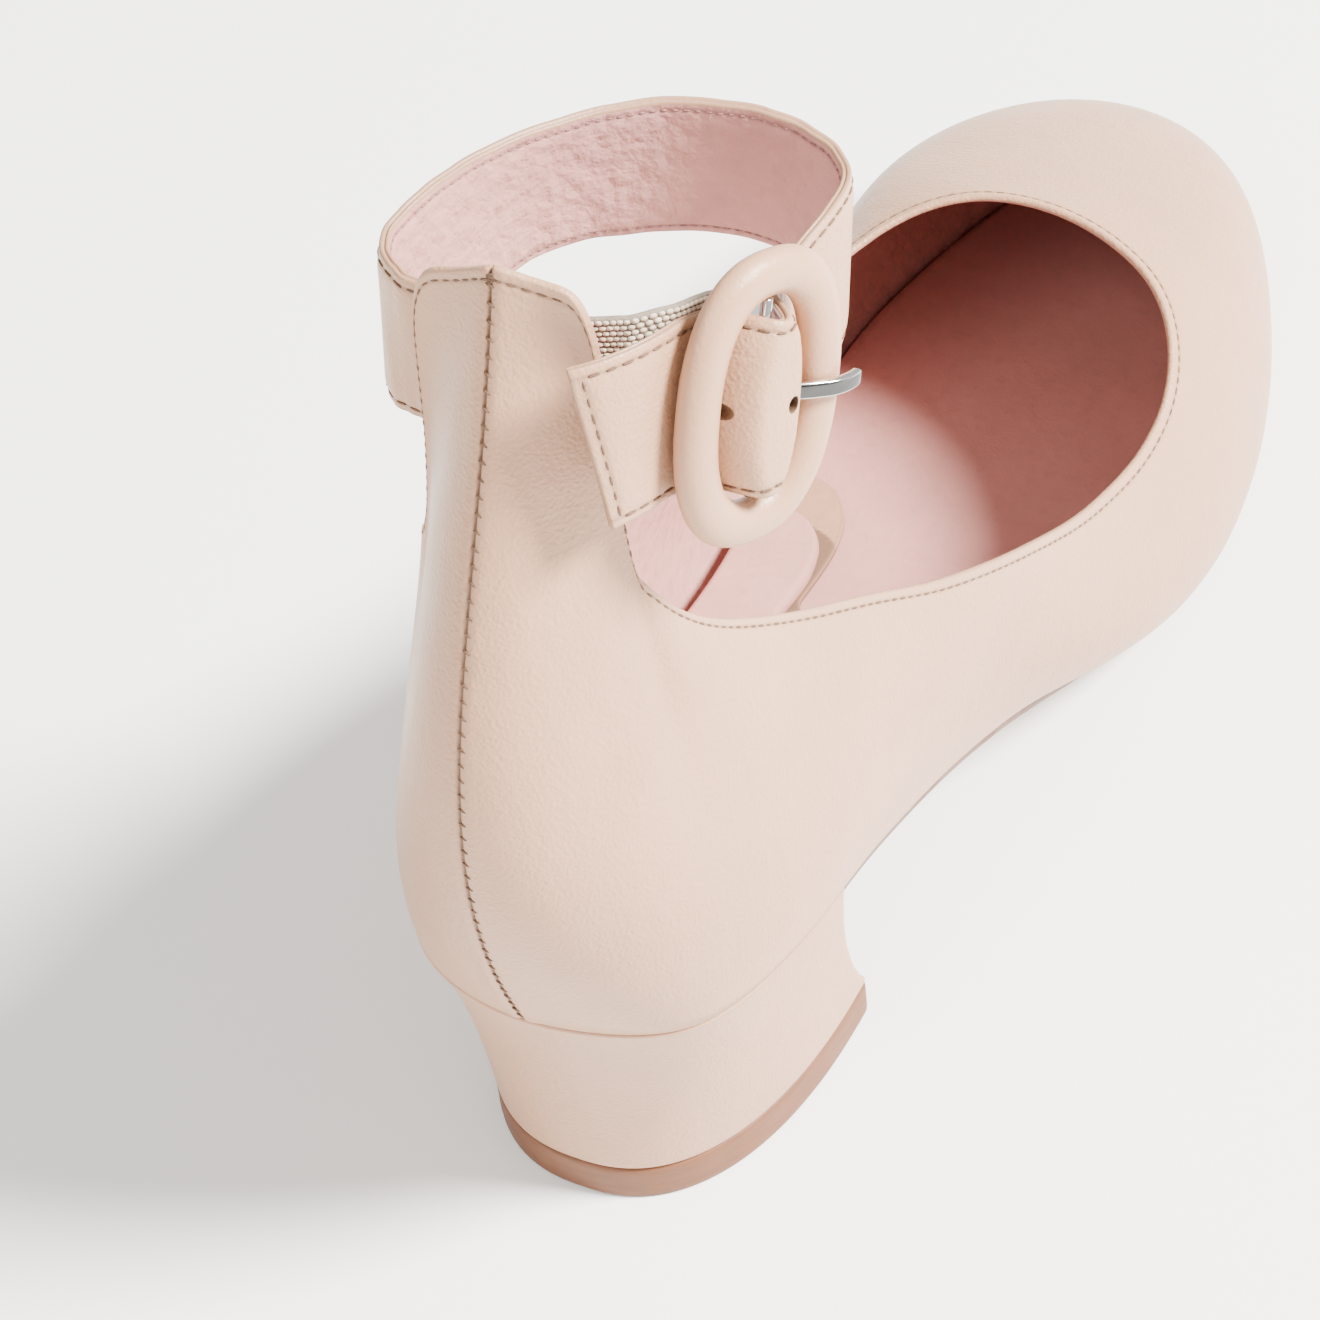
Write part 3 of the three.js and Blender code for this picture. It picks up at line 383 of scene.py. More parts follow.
def leaning_path(rows):
    """Path through (point, lean) rows. Gives its length and a function of its share."""
    points, places = catmull([row[0] for row in rows])
    reach = reach_along(points)
    leans = np.radians([row[1] for row in rows])

    def at(s):
        d = np.clip(s, 0, 1) * reach[-1]
        point = read_at(d, reach, points)
        place = np.interp(d, reach, places)
        i = np.clip(np.floor(place).astype(int), 0, len(leans) - 2)
        angle = mix(leans[i], leans[i + 1], smooth(place - i))
        return point, np.stack([np.zeros_like(angle), np.sin(angle), np.cos(angle)], -1)

    return at, reach[-1]


def in_tab(across, along, lean, height):
    """One row of a band's route, measured from the inside of the tab."""
    return (np.array([across * STRAP_SPAN, TAB_INSIDE + along * STRAP_REACH, height]), lean)


def strap_path():
    """From inside the tab round the front, under the ring and out to the tip."""
    half, width = RING_WIDTH / 2, STRAP_WIDTH
    rows = [in_tab(a, b, lean, STRAP_MID - fall * STRAP_DROP) for a, b, fall, lean in STRAP_ROUTE]
    places = [(half + ahead * width, 0, out) for ahead, out in STRAP_LEAD] + [(0, 0, 0)]
    places += [(-half - past * width, rise * width, out) for past, rise, out in STRAP_END]
    rows += [(by_buckle(x, rise, STRAP_UNDER + out * width), BUCKLE_LEAN) for x, rise, out in places]
    return leaning_path(rows)


def elastic_path():
    """From inside the tab to the prong's eye."""
    half = RING_WIDTH / 2
    rows = [in_tab(a, b, lean, STRAP_MID - ELASTIC_DROP) for a, b, lean in ELASTIC_ROUTE]
    stops = (-half, -half / 2, -EYE_RADIUS - BAR_RADIUS / 2 - 2 * GAP)
    rows += [(by_buckle(x, 0, ELASTIC_UNDER), BUCKLE_LEAN) for x in stops]
    return leaning_path(rows)


def through_ring(points, height, late):
    """Lifts the points of a band where it lies in the ring."""
    local = points - RING_CENTRE
    along, rise = local @ ACROSS, local @ UP
    across = np.clip(np.abs(rise) / (RING_HEIGHT / 2 - RING_FACE / 2), 0, 1)
    inside = (1 - across**RING_SQUARENESS) ** (1 / RING_SQUARENESS)
    reach = (RING_WIDTH / 2 - RING_FACE / 2) * inside - CREST_MARGIN
    lift = 1 - smooth((np.abs(along) + late - (reach - CREST_SLOPE)) / (2 * CREST_SLOPE))
    near = np.linalg.norm(local, axis=-1) <= RING_HEIGHT * 0.75
    return points + OUT * (height * lift * near)[..., None]


def band_middle(path, length, width, slant, height, late, shares, sides):
    """Middle surface of a band on a grid of shares along and sides across, and its normals."""
    t, side = np.meshgrid(shares, sides, indexing="ij")
    shorter = slant * (0.5 - side)
    s = t * (1 - (shorter / length) * smooth((t - 1 + TIP_SHARE) / TIP_SHARE))
    point, lean = path(s)
    grid = through_ring(point + lean * (side * width)[..., None], height, late)
    return grid, grid_normals(grid)


def grid_normals(grid):
    ahead = np.gradient(grid, axis=0)
    rise = np.gradient(grid, axis=1)
    return unit(np.cross(rise, ahead))


# Outline of the feather line.

def feather_sides(inset):
    """Outer and inner side of the inset feather line from heel to toe, as rows of (y, x)."""
    fine = 1600
    u = np.arange(fine) / fine * len(SECTIONS)
    out = outward(u)
    points = np.stack([FOOT_Y(u) - out[:, 1] * inset, FOOT_X(u) - out[:, 0] * inset], -1)
    toe, heel = int(points[:, 0].argmax()), int(points[:, 0].argmin())
    walk = lambda a, b: points[np.arange(a, b + 1 if b > a else b + 1 + fine) % fine]
    return walk(heel, toe), walk(toe, heel)[::-1]


def eased_rows(low, high, count, round_low, round_high):
    """Steps from low to high, closer together at a round end."""
    t = np.arange(count + 1) / count
    if round_low and round_high:
        t = (1 - np.cos(np.pi * t)) / 2
    elif round_low:
        t = 1 - np.cos(np.pi * t / 2)
    elif round_high:
        t = np.sin(np.pi * t / 2)
    return mix(low, high, t)


def plan_rows(inset, low, high, count, round_low, round_high):
    """Rows of y with the outer and the inner x of the inset feather line."""
    outer, inner = feather_sides(inset)
    y = eased_rows(max(low, outer[0, 0]), min(high, outer[-1, 0]), count, round_low, round_high)
    return y, np.interp(y, outer[:, 0], outer[:, 1]), np.interp(y, inner[:, 0], inner[:, 1])


HEEL_BACK = float(FOOT_Y(0.0))
BREAST = HEEL_BACK + HEEL_SEAT
LIFT_LOW, LIFT_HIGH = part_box("heel_lift")
SHIFT = np.array([-(LIFT_LOW.x + LIFT_HIGH.x) * 500, HEEL_BACK + HEEL_PITCH - LIFT_LOW.y * 1000, 0.0])


# Meshes.

# Painted shade inside the shoe grows from here on towards the closed toe, in shares of its length.
DARK_STEP, DARK_FROM = 0.3, 2.35
# Painted shadow of the cushion on the sock in front of it: distance, bulge, then the bulge's place and
# width as shares of the cushion's length, how soft it is, and the share of the shoe behind it.
SHADOW_AHEAD, SHADOW_BULGE, BULGE_PLACE, BULGE_WIDTH, SHADOW_SOFT = 1.9, 2.2, 0.86, 0.11, 0.5
SHADOW_FROM = 0.3


def grid_faces(rows, columns, close_rows=False, close_columns=False):
    """Quads of a grid of points, numbered row by row."""
    i, j = np.meshgrid(np.arange(rows if close_rows else rows - 1),
                       np.arange(columns if close_columns else columns - 1), indexing="ij")
    a, b = (i + 1) % rows, (j + 1) % columns
    quads = np.stack([i * columns + j, a * columns + j, a * columns + b, i * columns + b], -1)
    return quads.reshape(-1, 4).tolist()


def make_piece(name, points, faces, materials, part=None, readings=None, closed=True):
    """A smooth mesh from points in millimetres. readings: numbers kept on the points."""
    mesh = bpy.data.meshes.new(name)
    mesh.from_pydata(((np.asarray(points) - SHIFT) / 1000).tolist(), [], faces)
    for key, values in (readings or {}).items():
        kept = mesh.attributes.new(key, "FLOAT", "POINT")
        kept.data.foreach_set("value", np.ravel(values).astype(np.float32))
    for material in materials:
        mesh.materials.append(material)
    if part is not None:
        mesh.polygons.foreach_set("material_index", np.asarray(part, dtype=np.int32))
    tidy_mesh(mesh, closed)
    piece = bpy.data.objects.new(name, mesh)
    bpy.context.scene.collection.objects.link(piece)
    return piece


def tidy_mesh(mesh, closed):
    """Merges doubled points, turns the faces of a closed body outwards and shades it smooth."""
    work = bmesh.new()
    work.from_mesh(mesh)
    bmesh.ops.dissolve_degenerate(work, dist=1e-7, edges=work.edges)
    bmesh.ops.remove_doubles(work, verts=work.verts, dist=1e-6)
    if closed:
        bmesh.ops.recalc_face_normals(work, faces=work.faces)
    for face in work.faces:
        face.smooth = True
    work.to_mesh(mesh)
    work.free()


def settle(piece, slot, *nodes):
    """Fixes a finished piece to the shoe in place of its solids."""
    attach(piece, "root")
    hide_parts(*nodes)


def loft(name, rings, materials, **kwargs):
    """Closed body through rings of points. Each ring is a closed loop, the ends are capped."""
    rings = np.array(rings)
    count, around = rings.shape[:2]
    points = rings.reshape(-1, 3)
    faces = grid_faces(count, around, close_columns=True)
    for base in (0, count - 1):
        middle = rings[base].mean(0)
        points = np.vstack([points, middle])
        hub = len(points) - 1
        loop = base * around + np.arange(around)
        turn = np.roll(loop, -1)
        pairs = zip(turn, loop) if base == 0 else zip(loop, turn)
        faces += [[int(a), int(b), hub] for a, b in pairs]
    return make_piece(name, points, faces, materials, **kwargs)


def in_the_dark(y):
    """Share of painted shade: 0 where the inside of the shoe lies open, 1 under the closed toe."""
    return smooth(y / (SHOE_LENGTH * DARK_STEP) - DARK_FROM)


def ladder(name, y, outer, inner, low, high, bevel, materials, across=18, dome=0.0, closed=True, both=False,
           shadow=None):
    """Thin body of rows across. low and high are its heights over each row, bevel rounds its rims.
    shadow: rows of a pad that lies on it, for its painted shadow in front of the pad."""
    t = (1 - np.cos(np.pi * np.arange(across + 1) / across)) / 2
    x = mix(inner[:, None], outer[:, None], t[None, :])
    half = np.abs(outer - inner)[:, None] / 2
    rim = np.minimum(t, 1 - t)[None, :] * 2 * half
    if closed:
        rim = np.minimum(rim, np.minimum(y - y[0], y[-1] - y)[:, None])
    soft = np.sqrt(np.clip(1 - (1 - np.clip(rim / bevel, 0, 1)) ** 2, 0, 1))
    thick = (high - low)[:, None]
    drop = np.minimum(bevel, thick * (0.45 if both else 0.8)) * (1 - soft)
    swell = dome * np.clip(rim / (half.max() * 0.8), 0, 1) ** 0.7
    top = high[:, None] - drop + swell
    under = low[:, None] + (drop if both else 0 * drop)
    rows = len(y)
    yy = np.broadcast_to(y[:, None], x.shape)
    ring = np.concatenate([np.stack([x, yy, top], -1), np.stack([x, yy, under], -1)[:, ::-1]], axis=1)
    # 1 at the rims. The sole's finish stains them dark; the lining finishes darken them as painted contact
    # shade.
    edge = hump(np.concatenate([rim, rim[:, ::-1]], axis=1), 0.5)
    columns = ring.shape[1]
    faces = grid_faces(rows, columns, close_columns=True)
    for base in (0, rows - 1):
        ids = base * columns + np.arange(columns)
        for k in range(across):
            quad = [int(i) for i in (ids[k], ids[k + 1], ids[columns - 2 - k], ids[columns - 1 - k])]
            faces.append(quad if base == 0 else quad[::-1])
    # Kept on the points: the rims, and painted shade towards the closed toe.
    readings = {"edge": edge, "toe_shade": in_the_dark(ring[..., 1])}
    # Painted shadow of the pad's front edge on this body, just in front of it.
    if shadow is not None:
        before = np.maximum(ring[..., 0] - np.interp(ring[..., 1], shadow[0], shadow[1]), 0)
        bulge = hump(ring[..., 1] - CUSHION_LENGTH * BULGE_PLACE, CUSHION_LENGTH * BULGE_WIDTH)
        past = np.maximum(before - SHADOW_AHEAD - SHADOW_BULGE * bulge, 0)
        readings["shade_line"] = hump(past, SHADOW_SOFT) * (ring[..., 1] > SHOE_LENGTH * SHADOW_FROM)
    return make_piece(name, ring.reshape(-1, 3), faces, materials, readings=readings)


# Finishes.

def linear(red, green, blue):
    """A display colour of 0 to 255 as the renderer's own numbers."""
    one = lambda c: c / 12.92 if c <= 0.04045 else ((c + 0.055) / 1.055) ** 2.4
    return tuple(one(c / 255) for c in (red, green, blue))


class Reading:
    """A number that varies over a surface. Sums and products of it add Math nodes."""

    def __init__(self, finish, socket):
        self.finish = finish
        self.socket = socket

    def _maths(self, operation, *values):
        node = self.finish.node("ShaderNodeMath", {"operation": operation}, dict(enumerate(values)))
        return Reading(self.finish, node.outputs[0])

    def __add__(self, other):
        return self._maths("ADD", self, other)

    def __mul__(self, other):
        return self._maths("MULTIPLY", self, other)

    __radd__ = __add__
    __rmul__ = __mul__

    def between(self, low, high):
        """0 below low, 1 above high, soft between."""
        settings = {"interpolation_type": "SMOOTHSTEP"}
        node = self.finish.node("ShaderNodeMapRange", settings, {0: self, 1: low, 2: high, 3: 0.0, 4: 1.0})
        return Reading(self.finish, node.outputs[0])


class Finish:
    """A material with one shader, read in the shoe's own space."""

    def __init__(self, name, **uniform):
        self.material = bpy.data.materials.new(name)
        self.material.use_nodes = True
        self.tree = self.material.node_tree
        self.tree.nodes.clear()
        self.shader = self.node("ShaderNodeBsdfPrincipled")
        self.node("ShaderNodeOutputMaterial", {}, {"Surface": self.shader.outputs[0]})
        self.place = self.node("ShaderNodeTexCoord").outputs["Object"]
        for key, value in uniform.items():
            self.shader.inputs[key.replace("_", " ")].default_value = value

    def node(self, kind, settings=None, inputs=None):
        node = self.tree.nodes.new(kind)
        for key, value in (settings or {}).items():
            setattr(node, key, value)
        for key, value in (inputs or {}).items():
            self.feed(node.inputs[key], value)
        return node

    def feed(self, socket, value):
        value = value.socket if isinstance(value, Reading) else value
        if isinstance(value, bpy.types.NodeSocket):
            self.tree.links.new(value, socket)
        else:
            socket.default_value = value

    def stretched(self, x, y, z):
        """The shoe's own space, scaled along each axis."""
        node = self.node("ShaderNodeMapping", {}, {"Vector": self.place})
        node.inputs["Scale"].default_value = (x, y, z)
        return node.outputs[0]

    def noise(self, size_mm, detail=2.0, place=None):
        inputs = {"Vector": place or self.place, "Scale": 1000.0 / size_mm, "Detail": detail}
        return Reading(self, self.node("ShaderNodeTexNoise", {}, inputs).outputs[0])

    def cells(self, size_mm, feature="F1", place=None):
        inputs = {"Vector": place or self.place, "Scale": 1000.0 / size_mm}
        node = self.node("ShaderNodeTexVoronoi", {"feature": feature}, inputs)
        return Reading(self, node.outputs["Distance"])

    def kept(self, name):
        """A reading kept on the points of the mesh."""
        return Reading(self, self.node("ShaderNodeAttribute", {"attribute_name": name}).outputs["Fac"])

    def blend(self, first, second, factor):
        """Colour between two colours."""
        whole = lambda colour: (*colour, 1.0) if isinstance(colour, tuple) else colour
        inputs = {0: factor, 6: whole(first), 7: whole(second)}
        return self.node("ShaderNodeMix", {"data_type": "RGBA"}, inputs).outputs[2]

    def bump(self, height, depth_mm, under=None):
        inputs = {"Height": height, "Distance": depth_mm / 1000.0, "Strength": 1.0}
        if under is not None:
            inputs["Normal"] = under
        return self.node("ShaderNodeBump", {}, inputs).outputs[0]

    def use(self, colour=None, roughness=None, normal=None):
        pairs = {"Base Color": colour, "Roughness": roughness, "Normal": normal}
        for key, value in pairs.items():
            if value is not None:
                self.feed(self.shader.inputs[key], value)
        return self.material


def shade(colour, share):
    return tuple(c * share for c in colour)


def smooth_leather(name, colour, grain=1.0, crinkle=1.0):
    """Smooth calf leather: fine pores, faint creases, painted shade in grooves, darker along edges."""
    finish = Finish(name, Specular_IOR_Level=0.42)
    clouds = finish.noise(26, 3.0)
    mottle = finish.noise(3.2, 4.0)
    tone = finish.blend(shade(colour, 0.955), shade(colour, 1.03), clouds.between(0.3, 0.7))
    tone = finish.blend(tone, shade(colour, 0.93), mottle.between(0.52, 0.8) * 0.45)
    # Painted shade in stitch grooves, seams and folds, which are also rougher.
    shade_line = finish.kept("shade_line")
    tone = finish.blend(tone, shade(colour, 0.3), shade_line * 0.75)
    tone = finish.blend(tone, shade(colour, 0.8), finish.kept("edge") * 0.5)
    pores = finish.cells(0.62)
    fine = finish.noise(0.55, 3.0)
    folds = finish.noise(5.5, 4.0, finish.stretched(1.0, 1.0, 0.45))
    normal = finish.bump(folds, 0.32 * crinkle)
    normal = finish.bump(pores * 0.6 + fine * 0.8, 0.13 * grain, normal)
    rough = finish.noise(9, 3.0) * 0.14 + 0.33 + shade_line * 0.2
    return finish.use(tone, rough, normal)


def soft_lining(name, colour, crinkle=1.0):
    """Matt pigskin-like lining leather with open crinkles."""
    finish = Finish(name, Specular_IOR_Level=0.3)
    clouds = finish.noise(18, 3.0)
    crease = finish.cells(3.4, "DISTANCE_TO_EDGE", finish.stretched(1.0, 1.0, 0.75))
    fold = finish.noise(2.6, 5.0)
    tone = finish.blend(shade(colour, 0.95), shade(colour, 1.04), clouds.between(0.3, 0.7))
    tone = finish.blend(tone, shade(colour, 0.86), fold.between(0.5, 0.75) * 0.5)
    # Painted shade in grooves, and painted shadow in front of pads.
    tone = finish.blend(tone, shade(colour, 0.25), finish.kept("shade_line") * 0.75)
    # Darker along rims: on the insole, sock and cushion this is painted contact shade.
    tone = finish.blend(tone, shade(colour, 0.7), finish.kept("edge") * 0.6)
    # Painted shade towards the closed toe.
    tone = finish.blend(tone, shade(colour, 0.16), finish.kept("toe_shade") * 0.5)
    normal = finish.bump(fold + crease * 0.5, 0.5 * crinkle)
    normal = finish.bump(finish.noise(0.5, 3.0), 0.06, normal)
    return finish.use(tone, finish.noise(6, 2.0) * 0.15 + 0.52, normal)


def sewing_thread(name, colour):
    """Twisted thread."""
    finish = Finish(name, Specular_IOR_Level=0.3)
    twist = finish.noise(0.28, 2.0)
    tone = finish.blend(shade(colour, 0.7), shade(colour, 1.3), twist.between(0.35, 0.65))
    return finish.use(tone, finish.noise(2, 2.0) * 0.1 + 0.6, finish.bump(twist, 0.08))


def sole_leather(name, edge_colour, face_colour):
    """Stained leather sole: dark waxed edge, paler scuffed underside."""
    finish = Finish(name, Specular_IOR_Level=0.4)
    fibres = finish.noise(1.2, 5.0, finish.stretched(1.0, 0.25, 1.0))
    scuff = finish.noise(7, 6.0).between(0.52, 0.68)
    tone = finish.blend(shade(face_colour, 0.88), shade(face_colour, 1.06), fibres.between(0.3, 0.7))
    tone = finish.blend(tone, shade(face_colour, 0.72), scuff * 0.5)
    tone = finish.blend(tone, edge_colour, finish.kept("edge").between(0.3, 0.9))
    normal = finish.bump(fibres + scuff * 0.5, 0.12)
    return finish.use(tone, scuff * 0.15 + 0.42, normal)


def top_piece(name, colour):
    """Matt tan rubber with a faint sawn texture and dusty wear."""
    finish = Finish(name, Specular_IOR_Level=0.35)
    layers = finish.noise(0.8, 3.0, finish.stretched(0.15, 0.15, 1.0))
    dust = finish.noise(4, 5.0)
    tone = finish.blend(shade(colour, 0.9), shade(colour, 1.08), layers.between(0.3, 0.7))
    tone = finish.blend(tone, shade(colour, 1.25), dust.between(0.55, 0.8) * 0.35)
    return finish.use(tone, dust * 0.2 + 0.48, finish.bump(layers + dust * 0.4, 0.05))


def bright_metal(name, colour):
    """Polished nickel with fine rubbing marks, and a painted dark reflection on the prong's flat top."""
    finish = Finish(name, Metallic=1.0)
    marks = finish.noise(0.6, 4.0, finish.stretched(1.0, 0.12, 1.0))
    tone = finish.blend(shade(colour, 0.9), colour, marks.between(0.3, 0.7))
    # Painted dark reflection on the prong's flat top.
    tone = finish.blend(tone, shade(colour, 0.012), finish.kept("flat"))
    return finish.use(tone, marks * 0.14 + 0.1, finish.bump(marks, 0.006))


def woven_elastic(name, colour):
    """Covered rubber thread: matt, fuzzy, uneven from loop to loop."""
    finish = Finish(name, Specular_IOR_Level=0.2)
    fuzz = finish.noise(0.35, 4.0)
    uneven = finish.noise(2.2, 2.0)
    tone = finish.blend(shade(colour, 0.8), shade(colour, 1.12), uneven.between(0.3, 0.7))
    tone = finish.blend(tone, shade(colour, 0.62), fuzz.between(0.5, 0.8) * 0.5)
    return finish.use(tone, fuzz * 0.1 + 0.8, finish.bump(fuzz, 0.12))


def pale_floor(name, colour):
    """Pale studio paper."""
    finish = Finish(name, Specular_IOR_Level=0.25)
    tone = finish.blend(shade(colour, 0.985), colour, finish.noise(400, 2.0).between(0.3, 0.7))
    return finish.use(tone, finish.noise(300, 2.0) * 0.05 + 0.6)


# Stitches and woven loops.

SMALLEST, LARGEST = 0.88, 1.08  # sizes of single stitches, as shares
NEAR = 0.3  # how far from a stitch its direction is read


def loops_tree():
    """Puts one small rounded body on each point, turned by the point's run and lift."""
    tree = bpy.data.node_groups.new("Stitch Row", "GeometryNodeTree")
    face = tree.interface
    face.new_socket(name="Geometry", in_out="INPUT", socket_type="NodeSocketGeometry")
    for name in ("Length", "Width", "Height"):
        socket = face.new_socket(name=name, in_out="INPUT", socket_type="NodeSocketFloat")
        socket.subtype = "DISTANCE"
    face.new_socket(name="Seed", in_out="INPUT", socket_type="NodeSocketInt")
    face.new_socket(name="Thread", in_out="INPUT", socket_type="NodeSocketMaterial")
    face.new_socket(name="Geometry", in_out="OUTPUT", socket_type="NodeSocketGeometry")

    def add(kind, settings=None, inputs=None):
        node = tree.nodes.new(kind)
        for key, value in (settings or {}).items():
            setattr(node, key, value)
        for key, value in (inputs or {}).items():
            if isinstance(value, bpy.types.NodeSocket):
                tree.links.new(value, node.inputs[key])
            else:
                node.inputs[key].default_value = value
        return node

    given = add("NodeGroupInput").outputs
    vector = {"data_type": "FLOAT_VECTOR"}
    run = add("GeometryNodeInputNamedAttribute", vector, {"Name": "run"}).outputs[0]
    lift = add("GeometryNodeInputNamedAttribute", vector, {"Name": "lift"}).outputs[0]
    turned = add("FunctionNodeAlignRotationToVector", {"axis": "X"}, {"Vector": run}).outputs[0]
    settings, inputs = {"axis": "Z", "pivot_axis": "X"}, {"Rotation": turned, "Vector": lift}
    turned = add("FunctionNodeAlignRotationToVector", settings, inputs).outputs[0]
    sphere = add("GeometryNodeMeshUVSphere", {}, {"Segments": 8, "Rings": 5, "Radius": 0.5}).outputs[0]
    size = add("ShaderNodeCombineXYZ", {}, {0: given["Length"], 1: given["Width"], 2: given["Height"]})
    inputs = {2: SMALLEST, 3: LARGEST, "Seed": given["Seed"]}
    change = add("FunctionNodeRandomValue", {"data_type": "FLOAT"}, inputs)
    inputs = {0: size.outputs[0], "Scale": change.outputs[1]}
    scaled = add("ShaderNodeVectorMath", {"operation": "SCALE"}, inputs)
    inputs = {"Points": given["Geometry"], "Instance": sphere, "Rotation": turned, "Scale": scaled.outputs[0]}
    placed = add("GeometryNodeInstanceOnPoints", {}, inputs)
    real = add("GeometryNodeRealizeInstances", {}, {0: placed.outputs[0]})
    soft = add("GeometryNodeSetShadeSmooth", {}, {0: real.outputs[0]})
    done = add("GeometryNodeSetMaterial", {}, {0: soft.outputs[0], "Material": given["Thread"]})
    add("NodeGroupOutput", {}, {0: done.outputs[0]})
    return tree


def place_loops(name, rows, length, width, height, seed, thread, slot):
    """Stitches on rows of (points, runs, lifts) in millimetres, as one plain mesh."""
    points, runs, lifts = (np.concatenate([row[k] for row in rows]) for k in range(3))
    mesh = bpy.data.meshes.new(name + "_points")
    mesh.from_pydata(((points - SHIFT) / 1000).tolist(), [], [])
    for key, values in (("run", runs), ("lift", lifts)):
        kept = mesh.attributes.new(key, "FLOAT_VECTOR", "POINT")
        kept.data.foreach_set("vector", values.astype(np.float32).ravel())
    source = bpy.data.objects.new(name + "_points", mesh)
    bpy.context.scene.collection.objects.link(source)
    tree = bpy.data.node_groups.get("Stitch Row") or loops_tree()
    row = source.modifiers.new("Stitch Row", "NODES")
    row.node_group = tree
    given = {"Length": length, "Width": width, "Height": height, "Seed": seed, "Thread": thread}
    for item in tree.interface.items_tree:
        if item.item_type == "SOCKET" and item.in_out == "INPUT" and item.name in given:
            value = given[item.name]
            row[item.identifier] = value / 1000.0 if isinstance(value, float) else value
    ready = source.evaluated_get(bpy.context.evaluated_depsgraph_get())
    plain = bpy.data.meshes.new_from_object(ready)
    if not plain.polygons:
        raise RuntimeError(f"{name} has no stitches")
    plain.name = name
    piece = bpy.data.objects.new(name, plain)
    bpy.context.scene.collection.objects.link(piece)
    bpy.data.objects.remove(source)
    bpy.data.meshes.remove(mesh)
    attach(piece, "root")
    return piece


def stitches_along(points, normals, pitch, closed=False, sink=0.0):
    """Evenly spaced stitches on a line that lies on a surface."""
    if closed:
        points = np.vstack([points, points[:1]])
        normals = np.vstack([normals, normals[:1]])
    reach = reach_along(points)
    count = int(reach[-1] / pitch)
    stops = (np.arange(count) + 0.5) * reach[-1] / count
    run = unit(read_at(stops + NEAR, reach, points) - read_at(stops - NEAR, reach, points))
    lift = unit(read_at(stops, reach, normals))
    return read_at(stops, reach, points) - lift * sink, run, lift


# The upper.

# Distances from the top edge and from the back seam, and the wall at the edge.
EDGE_STITCH = 1.7
RIM_WALL = 1.15
RIM_ROUND = 0.42
UPPER_COLUMNS = 470
RIM_ROWS = [0.42, 0.65, 0.9, 1.2, 1.45, 1.7, 1.95, 2.2, 2.5, 3.0, 3.6, 4.4, 5.4, 6.6, 7.8]
BODY_ROWS = 44
PROFILE_STEPS = 241
SEAM_COLUMNS = [0.1, 0.2, 0.32, 0.46, 0.65, 0.9, 1.2, 1.6, 2.1, 2.8, 3.6]
BAR_TACK = [0.3, 0.6, 0.95, 1.3, 1.7]
SEAM_END = 40  # the back seam's groove lies behind this
# Grooves and swellings: depth, place, half width.
SEAM_FORM = [(-0.42, 0, 0.24), (0.14, 1.3, 0.9)]
EDGE_FORM = [(-0.12, EDGE_STITCH, 0.3), (0.04, 1.0, 0.5)]
# Stitches of the back seam: slant, how far beside the seam and how high they sit, first one.
SEAM_SLANT, SEAM_SHIFT, SEAM_LIFT, SEAM_FIRST = -0.35, 0.22, 0.02, 1.0
SEAM_STEPS = 1200

# Creases of the leather: start, end, half width, depth (ridges above zero), in millimetres.
CREASES = [
    ((10, 22, 139), (3, 17, 132), 1.6, -0.3),
    ((12, 23, 134), (4, 16, 128), 1.4, 0.22),
    ((13, 24, 128), (6, 15, 121), 1.8, -0.25),
    ((-9, 22, 136), (-3, 15, 128), 1.8, -0.25),
    ((16, 22, 108), (10, 11, 100), 3.0, -0.35),
    ((19, 20, 96), (12, 8, 86), 3.5, 0.3),
    ((25, 30, 72), (20, 12, 62), 5.0, 0.35),
    ((-24, 30, 72), (-19, 13, 64), 5.0, 0.3),
    ((34, 120, 30), (40, 133, 22), 3.0, -0.3),
    ((-30, 118, 30), (-35, 132, 22), 3.0, -0.3),
    ((24, 186, 34), (6, 194, 37), 2.6, -0.35),
    ((2, 192, 37), (-16, 186, 35), 2.6, -0.3),
    ((28, 180, 30), (10, 199, 34), 2.2, 0.2),
]


def crease_field(points):
    """How far the creases lift or sink the leather at each point."""
    field = np.zeros(points.shape[:-1])
    for start, end, width, depth in CREASES:
        a, b = np.array(start, float), np.array(end, float)
        t = np.clip(((points - a) @ (b - a)) / np.sum((b - a) ** 2), 0, 1)
        distance = np.linalg.norm(points - (a + t[..., None] * (b - a)), axis=-1)
        field += depth * hump(distance, width) * (0.25 + 0.75 * np.sin(np.pi * np.clip(t, 0.05, 0.95)))
    return field


def formed(distance, form):
    """Height of the grooves and swellings beside a line."""
    return sum(depth * hump(distance - place, width) for depth, place, width in form)


def upper_grid():
    """Outer face of the upper on columns, with the distance of each row from the top edge."""
    base, section, height = upper_columns(UPPER_COLUMNS, SEAM_COLUMNS)
    v = np.linspace(0, 1, PROFILE_STEPS)
    place = lambda w: (mix(base[:, None], section[:, None], w), height[:, None] * w)
    fine = upper_point(*place(np.broadcast_to(v, (len(base), len(v)))))
    step = np.linalg.norm(np.diff(fine, axis=1), axis=2)
    down = np.concatenate([np.cumsum(step[:, ::-1], axis=1)[:, ::-1], np.zeros((len(base), 1))], axis=1)
    rest = np.linspace(0, 1, BODY_ROWS)[1:]
    distances = np.stack([np.concatenate([RIM_ROWS, mix(RIM_ROWS[-1], d[0], rest)]) for d in down])
    w = np.stack([np.interp(distances[i], down[i, ::-1], v[::-1]) for i in range(len(base))])
    u, h = place(w)
    return upper_point(u, h), upper_normal(u, h), distances, w


